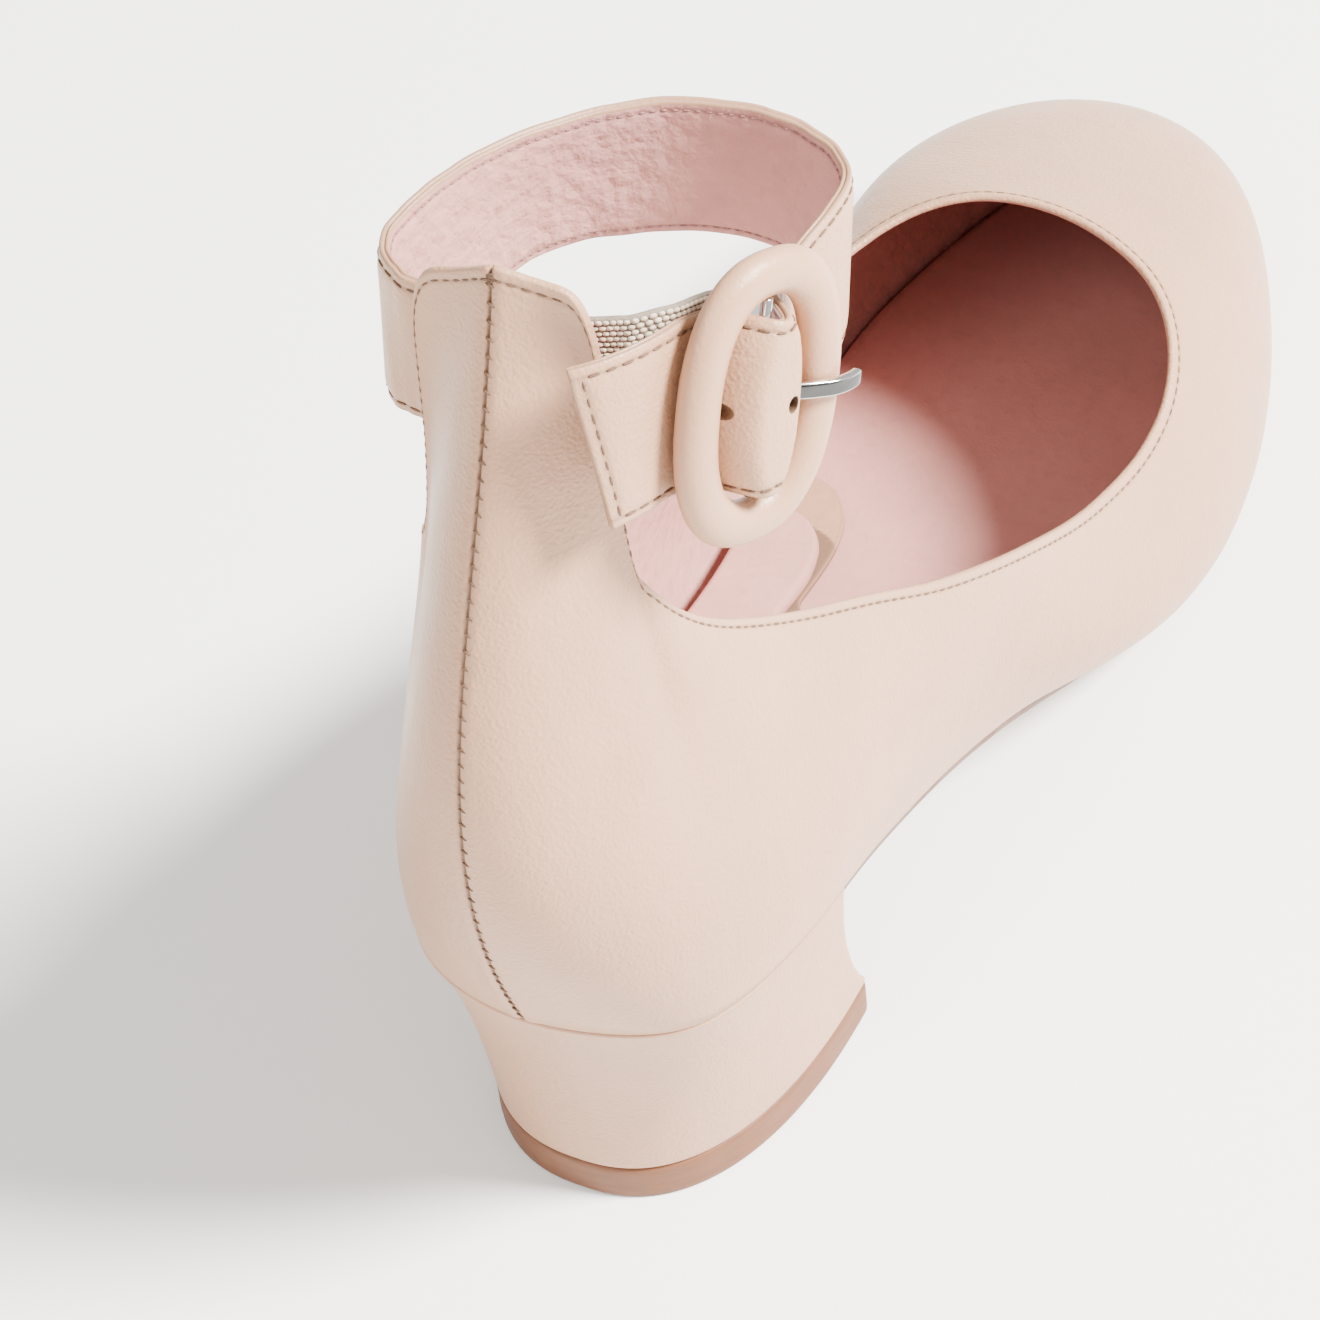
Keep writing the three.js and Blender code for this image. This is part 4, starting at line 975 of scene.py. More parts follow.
def build_upper(look):
    """Leather outside, lining inside and a rolled top edge. Gives the lines of its stitches."""
    points, normals, down, v = upper_grid()
    leather, lining = look["leather"], look["lining"]
    flat = normals * np.stack([np.ones_like(v), np.ones_like(v), smooth(v * 4)], -1)
    wall = mix(RIM_WALL, UPPER_WALL, smooth((down - EDGE_STITCH - 0.5) / 5))
    inner = points - unit(flat) * wall[..., None]
    seam = np.where(points[..., 1] < SEAM_END, np.abs(points[..., 0]), np.inf)
    lift = formed(down, EDGE_FORM) + formed(seam, SEAM_FORM) + crease_field(points)
    outer = points + normals * lift[..., None]
    # Painted shade along the edge stitching and in the back seam, on both faces.
    shade_line = np.maximum(0.7 * hump(down - EDGE_STITCH, 0.3), 1.3 * hump(seam, 0.22))
    edge = 0.5 * hump(down, 0.5)
    up = unit(outer[:, 0] - outer[:, 1])
    middle = (outer[:, 0] + inner[:, 0]) / 2
    half = (outer[:, 0] - inner[:, 0]) / 2
    angles = np.radians([25, 55, 90, 125, 155])
    roll = [middle + half * math.cos(a) + up * RIM_ROUND * math.sin(a) for a in angles]
    loop = np.concatenate([outer[:, ::-1], np.stack(roll, 1), inner], axis=1)
    pad = np.zeros((len(points), len(angles)))
    shade_lines = np.concatenate([shade_line[:, ::-1], pad, hump(down - EDGE_STITCH, 0.4)], axis=1)
    edges = np.concatenate([edge[:, ::-1], pad + 0.5, edge * 0.6], axis=1)
    # Painted shade towards the closed toe.
    toe_shade = in_the_dark(loop[..., 1])
    rows, columns = loop.shape[:2]
    kinds = (np.arange(columns) >= points.shape[1] + 3).astype(int)
    faces = grid_faces(rows, columns, close_rows=True, close_columns=True)
    upper = make_piece("upper_leather", loop.reshape(-1, 3), faces, [leather, lining],
                       part=np.tile(kinds, rows), readings={"shade_line": shade_lines, "edge": edges, "toe_shade": toe_shade})
    settle(upper, "upper_leather", "upper")
    row = RIM_ROWS.index(EDGE_STITCH)
    return outer[:, row], normals[:, row], inner[:, row]


def seam_stitches(pitch):
    """Short slanting stitches across the back seam, and a bar tack at its top."""
    h = np.linspace(0.005, 0.995, SEAM_STEPS)
    u = np.zeros_like(h)
    line, normal = upper_point(u, h), upper_normal(u, h)
    reach = reach_along(line)
    row = np.arange(SEAM_FIRST, reach[-1] - BAR_TACK[-1] - pitch / 2, pitch)
    stops = np.concatenate([row, reach[-1] - np.array(BAR_TACK)])
    point, lift = read_at(stops, reach, line), unit(read_at(stops, reach, normal))
    up = unit(read_at(stops + NEAR, reach, line) - point)
    side = unit(np.cross(up, lift))
    number = np.arange(len(stops))
    slant = np.where(number < len(row), SEAM_SLANT, 0.5 * np.sin(2.2 * number))
    run = unit(side + up * slant[:, None])
    shift = np.where(number < len(row), SEAM_SHIFT, 0)
    return point + side * shift[:, None] + lift * SEAM_LIFT, run, lift


# Sole, heel and inside.

SOLE_ROWS, INSOLE_ROWS, PAD_ROWS = 220, 240, 260
HEEL_ROWS, HEEL_LEVELS, HEEL_AROUND, BREAST_STEPS = 90, 36, 230, 40
SOCK_ACROSS, CUSHION_ACROSS = 120, 60
INSOLE_BEVEL, SOCK_BEVEL, CUSHION_BEVEL, CUSHION_CROWN = 0.6, 0.3, 1.1, 0.45
# Rounded ends of the heel block: inset, rise.
HEEL_FOOT = [(0.5, 0), (0.15, 0.12), (0, 0.4)]
HEEL_HEAD = [(0, -0.5), (0.2, -0.12), (0.6, 0)]
# Rows of the heel's top piece: inset, height above the floor.
TOP_PIECE_ROWS = [(0.7, 0.0), (0.25, 0.1), (0.05, 0.5), (0, 1.2), (0, 5.2), (0.05, 6.0), (0.3, 6.4)]


def build_outsole(look):
    """Leather sole from the heel's breast to the toe."""
    y, outer, inner = plan_rows(SOLE_INSET, BREAST + GAP, SHOE_LENGTH, SOLE_ROWS, False, True)
    low, high = feather(y) - GAP - SOLE, feather(y) - GAP
    sole = ladder("outsole_leather", y, outer, inner, low, high, SOLE_BEVEL, [look["sole"]],
                  both=True, closed=False)
    settle(sole, "sole_leather", "outsole")


def heel_ring(share):
    """Loop round the heel block at a share of its height."""
    y, outer, inner = plan_rows(0, HEEL_BACK, BREAST, HEEL_ROWS, True, False)
    t = np.arange(HEEL_ROWS + 1) / HEEL_ROWS
    reach = 1 - np.cos(np.pi * t / 2)
    width = (1 - (1 - reach) ** LIFT_SQUARENESS) ** (1 / LIFT_SQUARENESS)
    lift_y = HEEL_BACK + HEEL_PITCH + LIFT_LENGTH * reach
    flare = mix(share**HEEL_TUCK, share, t)
    ahead = BREAST_HOLLOW * 4 * share * (1 - share) * t * t
    z = mix(LIFT_THICKNESS + GAP, feather(y) - GAP, share)
    along = mix(lift_y, y, flare) - ahead
    side = lambda x, sign: np.stack([mix(sign * LIFT_WIDTH * width / 2, x, flare), along, z], -1)
    right, left = side(outer, 1), side(inner, -1)
    breast = mix(right[-1], left[-1], (np.arange(1, BREAST_STEPS) / BREAST_STEPS)[:, None])
    loop = np.vstack([right, breast, left[:0:-1], right[:1]])
    reach = reach_along(loop)
    ring = read_at(np.arange(HEEL_AROUND) * reach[-1] / HEEL_AROUND, reach, loop)
    for _ in range(2):
        ring = 0.5 * ring + 0.25 * (np.roll(ring, 1, 0) + np.roll(ring, -1, 0))
    return ring


def shrunk(ring, inset, rise):
    """A ring drawn in towards its middle and lifted."""
    middle = ring.mean(0)
    away = ring - middle
    reach = np.linalg.norm(away[:, :2], axis=1, keepdims=True)
    result = middle + away * (1 - inset / reach)
    result[:, 2] = ring[:, 2] + rise
    return result


def build_heel(look):
    """Covered heel block, and the top piece under it."""
    levels = [heel_ring(s) for s in np.linspace(0, 1, HEEL_LEVELS)]
    first, last = levels[0], levels[-1]
    rings = [shrunk(first, *row) for row in HEEL_FOOT] + levels[1:-1]
    rings += [shrunk(last, *row) for row in HEEL_HEAD]
    block = loft("heel_cover", rings, [look["leather"]])
    settle(block, "heel_cover", "heel_block")
    rings = []
    for inset, z in TOP_PIECE_ROWS:
        ring = shrunk(first, inset, 0)
        ring[:, 2] = z
        rings.append(ring)
    lift = loft("heel_top_piece", rings, [look["top_piece"]])
    settle(lift, "top_piece", "heel_lift")


def pad_rows(inset, length, count):
    """Rows of a pad whose front edge is cut back on the outer side."""
    y, outer, inner = plan_rows(UPPER_WALL + 2 * GAP + inset, HEEL_BACK, length, count, True, True)
    inward = monotone(PAD_EDGE[:, 0], PAD_EDGE[:, 1], y / length)
    return y, mix(outer, inner, inward), inner


def build_inside(look):
    """Insole, sock and heel cushion, one on the other."""
    inset = UPPER_WALL + 2 * GAP
    y, outer, inner = plan_rows(inset, HEEL_BACK, SHOE_LENGTH, INSOLE_ROWS, True, True)
    low = feather(y)
    board = ladder("insole_lining", y, outer, inner, low, low + INSOLE, INSOLE_BEVEL, [look["insole"]])
    settle(board, "lining", "insole")
    base = INSOLE + GAP
    y, outer, inner = pad_rows(GAP, SOCK_LENGTH, PAD_ROWS)
    cover = pad_rows(2 * GAP, CUSHION_LENGTH, PAD_ROWS)
    low, high = feather(y) + base, feather(y) + base + SOCK
    # The cushion's front edge gets a painted shadow on the sock.
    sock = ladder("sock_lining", y, outer, inner, low, high, SOCK_BEVEL, [look["sock"]],
                  SOCK_ACROSS, shadow=cover)
    settle(sock, "sock_lining", "heel_sock")
    y, outer, inner = cover
    low = feather(y) + base + SOCK + GAP
    pad = ladder("cushion_pad", y, outer, inner, low, low + CUSHION, CUSHION_BEVEL, [look["cushion"]],
                 CUSHION_ACROSS, dome=CUSHION_CROWN, both=True)
    settle(pad, "cushion_lining", "heel_cushion")


# Strap, elastic and buckle.

SIDES = np.linspace(-0.5, 0.5, 49)
# Stitches of the strap: margin from its long edges and from its tip, pitch of the inner row.
STRAP_MARGIN = 1.4
STRAP_STITCH = STRAP_WIDTH / 2 - STRAP_MARGIN
TIP_STITCH = 1.5
LINING_PITCH = 0.62
STRAP_ROWS, LAST_ROW = 420, 0.6  # even rows, and how far from the tip they end
FIRST_STITCH = 8  # row of the strap at which its stitches begin
# Order of the strap's materials.
LEATHER, LINING, EDGE, RAW_AND_SHADE = range(4)
# Half the thickness of its pressed edge, and how far from the edge it is full.
PRESSED = 0.66
PRESS_REACH = 3.2
# Rows at the tip: distance from it, share of the thickness.
TIP_ROUND = [(0, 0.7), (0.06, 0.85), (0.18, 0.95), (0.35, 1)]
# Punched holes: place along the strap, share of roundness. Then the punch: out, radius.
HOLES = [(HOLE_AHEAD, 0.85), (HOLE_AHEAD - HOLE_PITCH, 0.72)]
PUNCH = [(-9, 1.15), (0.4, 1.15), (4, 1.25)]
PRONG_ROOM = 0.7
# Loops of the elastic: length, width, height, then pitch along and across, slide and lift.
LOOP = (1.02, 0.74, 0.46)
LOOP_PITCH = (0.82, 0.8)
LOOP_SLIDE, LOOP_LIFT = 0.22, 0.06
# Ground of the elastic: how far it lies inside the loops at its edges and faces, its rows.
GROUND_EDGE, GROUND_FACE = 0.4, 0.35
GROUND_ROWS, GROUND_ACROSS = 90, 40
ROD_POWER = 0.45


def strap_half(inside):
    """Half the strap's thickness at a distance from its edge."""
    return mix(PRESSED, STRAP / 2, smooth(inside / PRESS_REACH))


STITCH_HEIGHT = float(strap_half(STRAP_MARGIN)) - 0.05


def across_band(values, sides_mm, width):
    """Values of a band's grid at given millimetres off its middle."""
    place = (np.asarray(sides_mm) / width + 0.5) * (len(SIDES) - 1)
    i = np.clip(np.floor(place).astype(int), 0, len(SIDES) - 2)
    t = (place - i)[None, :, None]
    return values[:, i] * (1 - t) + values[:, i + 1] * t


def strap_profile():
    """Cross-section of the strap: off the middle, off the mid layer, in millimetres, and its kind."""
    half, thick, seam = STRAP_WIDTH / 2, PRESSED, -0.08
    near = STRAP_STITCH + np.array([-1.7, -1.0, -0.6, -0.35, -0.15, 0, 0.15, 0.35, 0.6, 0.9])
    face = np.concatenate([-near[::-1], np.linspace(-8, 8, 15), near])
    rim = [(half - 0.12, thick - 0.08), (half, thick - 0.3), (half, seam + 0.24), (half - 0.1, seam + 0.1),
           (half - 0.35, seam), (half - 0.14, seam - 0.1), (half - 0.05, seam - 0.22),
           (half - 0.05, -thick + 0.25), (half - 0.16, -thick + 0.08)]
    outer = [(x, strap_half(half - abs(x)) - 0.12 * hump(abs(x) - STRAP_STITCH, 0.3)) for x in face]
    inner = [(x, -strap_half(half - abs(x)) + 0.08 * hump(abs(x) - STRAP_STITCH, 0.3)) for x in face[::-1]]
    far = [(-x, z) for x, z in rim[::-1]]
    profile = np.array(outer + rim + inner + far)
    kinds = [LEATHER] * len(outer) + [EDGE] * len(rim) + [LINING] * len(inner) + [EDGE] * len(far)
    return profile, np.array(kinds)


def build_strap(look, pitch):
    """Strap with sewn edges and punched holes. Gives the stitches of its two faces."""
    path, length = strap_path()
    tip, full = np.array(TIP_ROUND).T
    shares = np.concatenate([np.linspace(0, 1 - LAST_ROW / length, STRAP_ROWS), 1 - tip[::-1] / length])
    lift = STRAP_CREST - STRAP_UNDER
    grid, normals = band_middle(path, length, STRAP_WIDTH, TIP_SLANT, lift, 0, shares, SIDES)
    profile, kinds = strap_profile()
    middle = across_band(grid, profile[:, 0], STRAP_WIDTH)
    normal = unit(across_band(normals, profile[:, 0], STRAP_WIDTH))
    inside = (1 - shares) * length
    taper = strap_half(inside) * np.interp(inside, tip, full)
    thick = np.sign(profile[:, 1]) * np.minimum(np.abs(profile[:, 1]), taper[:, None])
    rings = middle + normal * thick[..., None]
    rows, around = rings.shape[:2]
    off = np.abs(profile[:, 0])
    # Painted shade along the stitch rows and across the tip's row.
    sewn = 0.7 * hump(off - STRAP_STITCH, 0.32) * (kinds != EDGE)
    end = 0.7 * hump(inside - TIP_STITCH, 0.32)[:, None] * (off <= STRAP_STITCH) * (kinds != EDGE)
    shade_line = np.maximum(np.broadcast_to(sewn, (rows, around)), end)
    edge = 0.5 * hump(STRAP_WIDTH / 2 - off, 0.4)
    faces = grid_faces(rows, around, close_columns=True)
    ends = [list(range(around))[::-1], [(rows - 1) * around + k for k in range(around)]]
    strap = make_piece("ankle_strap_leather", rings.reshape(-1, 3), faces + ends,
                       [look["leather"], look["strap_lining"], look["strap_edge"], look["raw_edge"]],
                       part=np.concatenate([np.tile(kinds, rows - 1), [EDGE, EDGE]]),
                       readings={"shade_line": shade_line, "edge": np.broadcast_to(edge, (rows, around))})
    cut_holes(strap)
    settle(strap, "strap_leather", "ankle_strap")
    outer = strap_stitches(grid, normals, shares, length, pitch, 1)
    return outer, strap_stitches(grid, normals, shares, length, pitch * LINING_PITCH, -1)


def strap_stitches(grid, normals, shares, length, pitch, face):
    """Rows on one face: along both long edges and over the slanted tip."""
    stop = int(np.searchsorted((1 - shares) * -length, -TIP_STITCH))
    edges = [-STRAP_STITCH, STRAP_STITCH]
    lift = unit(across_band(normals, edges, STRAP_WIDTH)) * face
    line = across_band(grid, edges, STRAP_WIDTH) + lift * STITCH_HEIGHT
    line, lift = line[FIRST_STITCH:stop], lift[FIRST_STITCH:stop]
    rows = [stitches_along(line[:, k], lift[:, k], pitch) for k in (0, 1)]
    sides = np.linspace(-STRAP_STITCH, STRAP_STITCH, 30)
    tip = across_band(grid, sides, STRAP_WIDTH)[stop]
    up = unit(across_band(normals, sides, STRAP_WIDTH))[stop] * face
    return rows + [stitches_along(tip + up * STITCH_HEIGHT, up, pitch)]


def swept(points, widths, thicks, sides):
    """Rounded flat rod along points in the plane of the ring's cross-cut."""
    ahead = unit(np.gradient(points, axis=0))
    depth = unit(np.cross(ahead, UP))
    c, s = squarish(circle(sides), ROD_POWER)
    wide = UP * (c[None, :] * widths[:, None] / 2)[..., None]
    return points[:, None] + wide + depth[:, None] * (s[None, :] * thicks[:, None] / 2)[..., None]


def prong_line():
    """Middle line of the prong, from the bar over the front of the ring."""
    rest = (RING_DEPTH + PRONG) / 2 + 1.5 * GAP  # out from the ring's middle
    points = [by_buckle(a * RING_WIDTH / 2 + f * RING_FACE, 0, o * rest) for a, f, o in PRONG_ROUTE]
    return catmull(points, 14)[0]


def cut_holes(strap):
    """Punched holes, and the room that the prong takes."""
    line = prong_line()
    ones = np.ones(len(line))
    room = swept(line, ones * (PRONG_WIDTH + PRONG_ROOM), ones * (PRONG + PRONG_ROOM), 16)
    cutters = [loft("prong_room", room, [])]
    turn = circle(24)
    for n, (along, narrow) in enumerate(HOLES):
        rings = [by_buckle(along + np.cos(turn) * radius * narrow, np.sin(turn) * radius, STRAP_CREST + out)
                 for out, radius in PUNCH]
        cutters.append(loft(f"punch_{n}", rings, []))
    for cutter in cutters:
        for material in strap.data.materials:
            cutter.data.materials.append(material)
        # The cut walls take the raw edge's finish, which is dark with painted shade.
        cutter.data.polygons.foreach_set("material_index", [RAW_AND_SHADE] * len(cutter.data.polygons))
        cut = strap.modifiers.new("cut", "BOOLEAN")
        cut.operation = "DIFFERENCE"
        cut.solver = "MANIFOLD"
        cut.object = cutter
        ready = strap.evaluated_get(bpy.context.evaluated_depsgraph_get())
        plain = bpy.data.meshes.new_from_object(ready)
        strap.modifiers.remove(cut)
        kept = len(plain.polygons) / len(strap.data.polygons)
        if kept < 0.8 or kept == 1:
            raise RuntimeError(f"{cutter.name} didn't cut the strap")
        strap.data = plain
        bpy.data.objects.remove(cutter)


def build_elastic(look):
    """Ground with rows of thread loops on both faces; the ground's dark tone is painted shade between the
    loops.
    """
    path, length = elastic_path()
    shares = np.linspace(0, 1, GROUND_ROWS)
    args = (path, length, ELASTIC_WIDTH, 0, -ELASTIC_UNDER, ELASTIC)
    grid, normals = band_middle(*args, shares, SIDES)
    half = ELASTIC_WIDTH / 2 - GROUND_EDGE
    thick = ELASTIC / 2 - GROUND_FACE
    xs = np.linspace(-half, half, GROUND_ACROSS)
    face, back = [(x, thick) for x in xs], [(x, -thick) for x in xs[::-1]]
    profile = np.array(face + [(half + 0.2, 0)] + back + [(-half - 0.2, 0)])
    middle = across_band(grid, profile[:, 0], ELASTIC_WIDTH)
    normal = unit(across_band(normals, profile[:, 0], ELASTIC_WIDTH))
    rings = middle + normal * profile[:, 1][None, :, None]
    band = loft("elastic_ground", rings, [look["elastic_ground"]])
    settle(band, "elastic", "elastic_tab")
    along = np.arange(0.4, length - 0.3, LOOP_PITCH[0]) / length
    off = np.arange(-half, half + 0.3, LOOP_PITCH[1])
    fine, lifts = band_middle(*args, along, SIDES)
    points, lift = across_band(fine, off, ELASTIC_WIDTH), unit(across_band(lifts, off, ELASTIC_WIDTH))
    ahead = unit(np.gradient(points, axis=0))
    slide = LOOP_SLIDE * np.where(np.arange(len(off)) % 2, 1, -1)[None, :, None]
    rows = []
    for face in (1, -1):
        place = points + ahead * slide + lift * face * (thick + LOOP_LIFT)
        rows.append((place.reshape(-1, 3), ahead.reshape(-1, 3), (lift * face).reshape(-1, 3)))
    place_loops("elastic_weave", rows, *LOOP, 7, look["elastic"], "elastic")


FOLD_DEPTH = 0.07  # of the leather's seam round the ring


def build_ring(look):
    """Oval ring covered in leather."""
    turn = circle(36)
    c, s = squarish(circle(200), 2 / RING_SQUARENESS)
    fold = 1 - FOLD_DEPTH * hump(np.mod(turn + np.pi, 2 * np.pi) - math.radians(52), 0.12)
    grow = np.cos(turn) * RING_FACE / 2 * fold
    depth = np.sin(turn) * RING_DEPTH / 2 * fold
    along = c[:, None] * (RING_WIDTH / 2 + grow[None, :])
    rise = s[:, None] * (RING_HEIGHT / 2 + grow[None, :])
    points = by_buckle(along, rise, np.broadcast_to(depth, along.shape))
    faces = grid_faces(*along.shape, close_rows=True, close_columns=True)
    # Painted shade in the fold of the leather's seam.
    shade_line = np.broadcast_to((1 - fold) / FOLD_DEPTH, along.shape)
    ring = make_piece("buckle_ring_leather", points.reshape(-1, 3), faces, [look["ring_leather"]],
                      readings={"shade_line": shade_line})
    settle(ring, "buckle_cover", "buckle_ring")


def build_bar(look):
    """Metal bar across the ring."""
    reach = (RING_HEIGHT - RING_FACE) / 2 - GAP
    ends = [(-reach, 0.6), (-reach + 0.2, 1), (reach - 0.2, 1), (reach, 0.6)]
    x, out = BAR_RADIUS * np.cos(circle(28)), BAR_RADIUS * np.sin(circle(28))
    rings = [by_buckle(x * r, z, out * r) for z, r in ends]
    bar = loft("buckle_bar_metal", rings, [look["metal"]])
    settle(bar, "buckle_metal", "buckle_bar")


def build_prong(look):
    """Flat-topped shank and the eye that turns on the bar."""
    line = prong_line()
    share = np.linspace(0, 1, len(line))
    blunt = np.clip((1 - share) / 0.06, 0, 1) ** 0.5
    wide = PRONG_WIDTH * (1 - 0.12 * share) * (0.45 + 0.55 * blunt)
    # Faces of the flat top, which get a painted dark reflection.
    flat = np.where(hump(np.arange(24) / 24 - 0.25, 0.09) > 0.4, 0.9, 0.0)
    shank = loft("prong_shank", swept(line, wide, PRONG * (0.5 + 0.5 * blunt), 24), [look["metal"]],
                 readings={"flat": np.append(np.tile(flat, len(line)), [0, 0])})
    bore, outer = BAR_RADIUS + 0.08, EYE_RADIUS + BAR_RADIUS / 2
    z = PRONG_WIDTH / 2
    section = [(bore, -z), (outer - 0.25, -z), (outer, -z + 0.25),
               (outer, z - 0.25), (outer - 0.25, z), (bore, z)]
    turn = circle(28)
    loops = [by_buckle(np.cos(turn) * r, h, np.sin(turn) * r) for r, h in section]
    faces = grid_faces(len(loops), len(turn), close_rows=True, close_columns=True)
    eye = make_piece("prong_eye", np.array(loops).reshape(-1, 3), faces, [look["metal"]])
    prong = joined("buckle_prong_metal", [shank, eye])
    settle(prong, "buckle_metal", "buckle_prong")


def joined(name, pieces):
    """One piece out of several."""
    work = bmesh.new()
    for piece in pieces:
        work.from_mesh(piece.data)
    mesh = bpy.data.meshes.new(name)
    work.to_mesh(mesh)
    work.free()
    for material in pieces[0].data.materials:
        mesh.materials.append(material)
    for piece in pieces:
        bpy.data.objects.remove(piece)
    whole = bpy.data.objects.new(name, mesh)
    bpy.context.scene.collection.objects.link(whole)
    return whole


# Stage.

# Camera of the photo: place in millimetres, angles in degrees, focal length in picture points.
CAMERA = {"place": (235.57, -342.76, 571.69), "azimuth": 30.76, "elevation": 47.42, "roll": -7.06,
          "focal": 5000}
IMAGE_SIDE = 1320
SENSOR = 36.0
# Sizes and places of the studio, in metres, and its slightly warm white.
FLOOR_SIDE, FLOOR_TILES = 6.0, 12
SHOE_MIDDLE = (0, 0, 0.05)
WINDOW_PLACE, WINDOW_SIZE = (1.2, 0.35, 1.35), 0.55
FILL_PLACE, FILL_SIZE = (-0.2, -1.5, 1.4), 1.4
WARM_WHITE = (1, 0.985, 0.965)
SKY = 0.95


def set_camera():
    """Camera at the photo's angle."""
    az, el, roll = (math.radians(CAMERA[k]) for k in ("azimuth", "elevation", "roll"))
    back = np.array([math.sin(az) * math.cos(el), -math.cos(az) * math.cos(el), math.sin(el)])
    right = unit(np.cross(-back, [0, 0, 1]))
    up = np.cross(right, -back)
    level = (math.cos(roll) * right + math.sin(roll) * up, -math.sin(roll) * right + math.cos(roll) * up)
    data = bpy.data.cameras.new("photo_camera")
    data.sensor_width = SENSOR
    data.lens = SENSOR * CAMERA["focal"] / IMAGE_SIDE
    data.clip_start, data.clip_end = 0.05, 50
    camera = bpy.data.objects.new("photo_camera", data)
    camera.matrix_world = Matrix(np.stack([*level, back], 1).tolist()).to_4x4()
    camera.location = ((np.array(CAMERA["place"]) - SHIFT) / 1000).tolist()
    bpy.context.scene.collection.objects.link(camera)
    bpy.context.scene.camera = camera


def area_light(name, place, size, power, colour):
    """Round soft light that faces the shoe."""
    data = bpy.data.lights.new(name, "AREA")
    data.shape = "DISK"
    data.size, data.energy, data.color = size, power, colour
    light = bpy.data.objects.new(name, data)
    back = unit(np.array(place, float) - np.array(SHOE_MIDDLE, float))
    right = unit(np.cross([0, 0, 1], back))
    turn = np.stack([right, np.cross(back, right), back], 1)
    light.matrix_world = Matrix(turn.tolist()).to_4x4()
    light.location = place
    bpy.context.scene.collection.objects.link(light)


def build_stage(look, key_power, fill_power):
    """Pale floor, window light from the right, weak fill and a pale sky."""
    steps = np.linspace(-FLOOR_SIDE / 2, FLOOR_SIDE / 2, FLOOR_TILES + 1)
    x, y = np.meshgrid(steps, steps, indexing="ij")
    points = np.stack([x, y, np.zeros_like(x)], -1).reshape(-1, 3) * 1000 + SHIFT
    faces = grid_faces(len(steps), len(steps))
    floor = make_piece("pale_floor", points, faces, [look["floor"]], closed=False)
    set_camera()
    area_light("window_light", WINDOW_PLACE, WINDOW_SIZE, key_power, WARM_WHITE)
    area_light("soft_fill", FILL_PLACE, FILL_SIZE, fill_power, (1, 0.99, 0.98))
    world = bpy.data.worlds.new("studio")
    world.use_nodes = True
    sky = world.node_tree.nodes["Background"]
    sky.inputs["Color"].default_value = (*WARM_WHITE, 1)
    sky.inputs["Strength"].default_value = SKY
    bpy.context.scene.world = world


# Add-on.

# Share of the pitch that a stitch covers on the upper and strap and on the strap's inside, how
# high the stitches stand, and the length of one across the back seam, in millimetres.
STITCH_SHARE, LINING_SHARE = 0.76, 0.7
STITCH_RISE, SEAM_RISE, LINING_RISE = 0.36, 0.44, 0.3
SEAM_STITCH = 1.3

LOOK = {}
EDGE_LINE = {}


def colour_setting(name, words, default):
    return bpy.props.FloatVectorProperty(name=name, description=words, subtype="COLOR", size=3,
                                         min=0, max=1, default=default)


def length_setting(name, words, default):
    return bpy.props.FloatProperty(name=name, description=words, subtype="DISTANCE", unit="LENGTH", min=0,
                                   default=default / 1000)


class ShoeStitching(bpy.types.PropertyGroup):
    pitch: length_setting("Pitch", "Distance from one stitch of the upper's edge to the next", 1.9)
    strap_pitch: length_setting("Strap pitch", "Distance from one stitch of the strap to the next", 2.3)
    seam_pitch: length_setting("Seam pitch", "Distance from one stitch of the back seam to the next", 2.35)
    thread: length_setting("Thread", "Width of the sewing thread", 0.42)


class ShoeColours(bpy.types.PropertyGroup):
    leather: colour_setting("Leather", "Leather of upper, heel, strap and buckle", linear(178, 136, 106))
    lining: colour_setting("Lining", "Lining of upper, insole and strap", linear(184, 131, 122))
    sock: colour_setting("Sock", "Sock under the heel cushion", linear(168, 128, 102))
    cushion: colour_setting("Cushion", "Cover of the heel cushion", linear(188, 136, 125))
    thread: colour_setting("Thread", "Sewing thread", linear(96, 70, 52))
    elastic: colour_setting("Elastic", "Woven elastic", linear(208, 190, 168))
    sole: colour_setting("Sole", "Stained edge of the sole", linear(92, 60, 42))
    top_piece: colour_setting("Top piece", "Rubber under the heel", linear(108, 68, 44))
    metal: colour_setting("Metal", "Bar and prong of the buckle", linear(215, 215, 213))
    floor: colour_setting("Floor", "Studio floor", linear(247, 246, 243))


class ShoeLight(bpy.types.PropertyGroup):
    key: bpy.props.FloatProperty(name="Window", description="Soft light from the right", default=215, min=0)
    fill: bpy.props.FloatProperty(name="Fill", description="Weak light from the front", default=26, min=0)


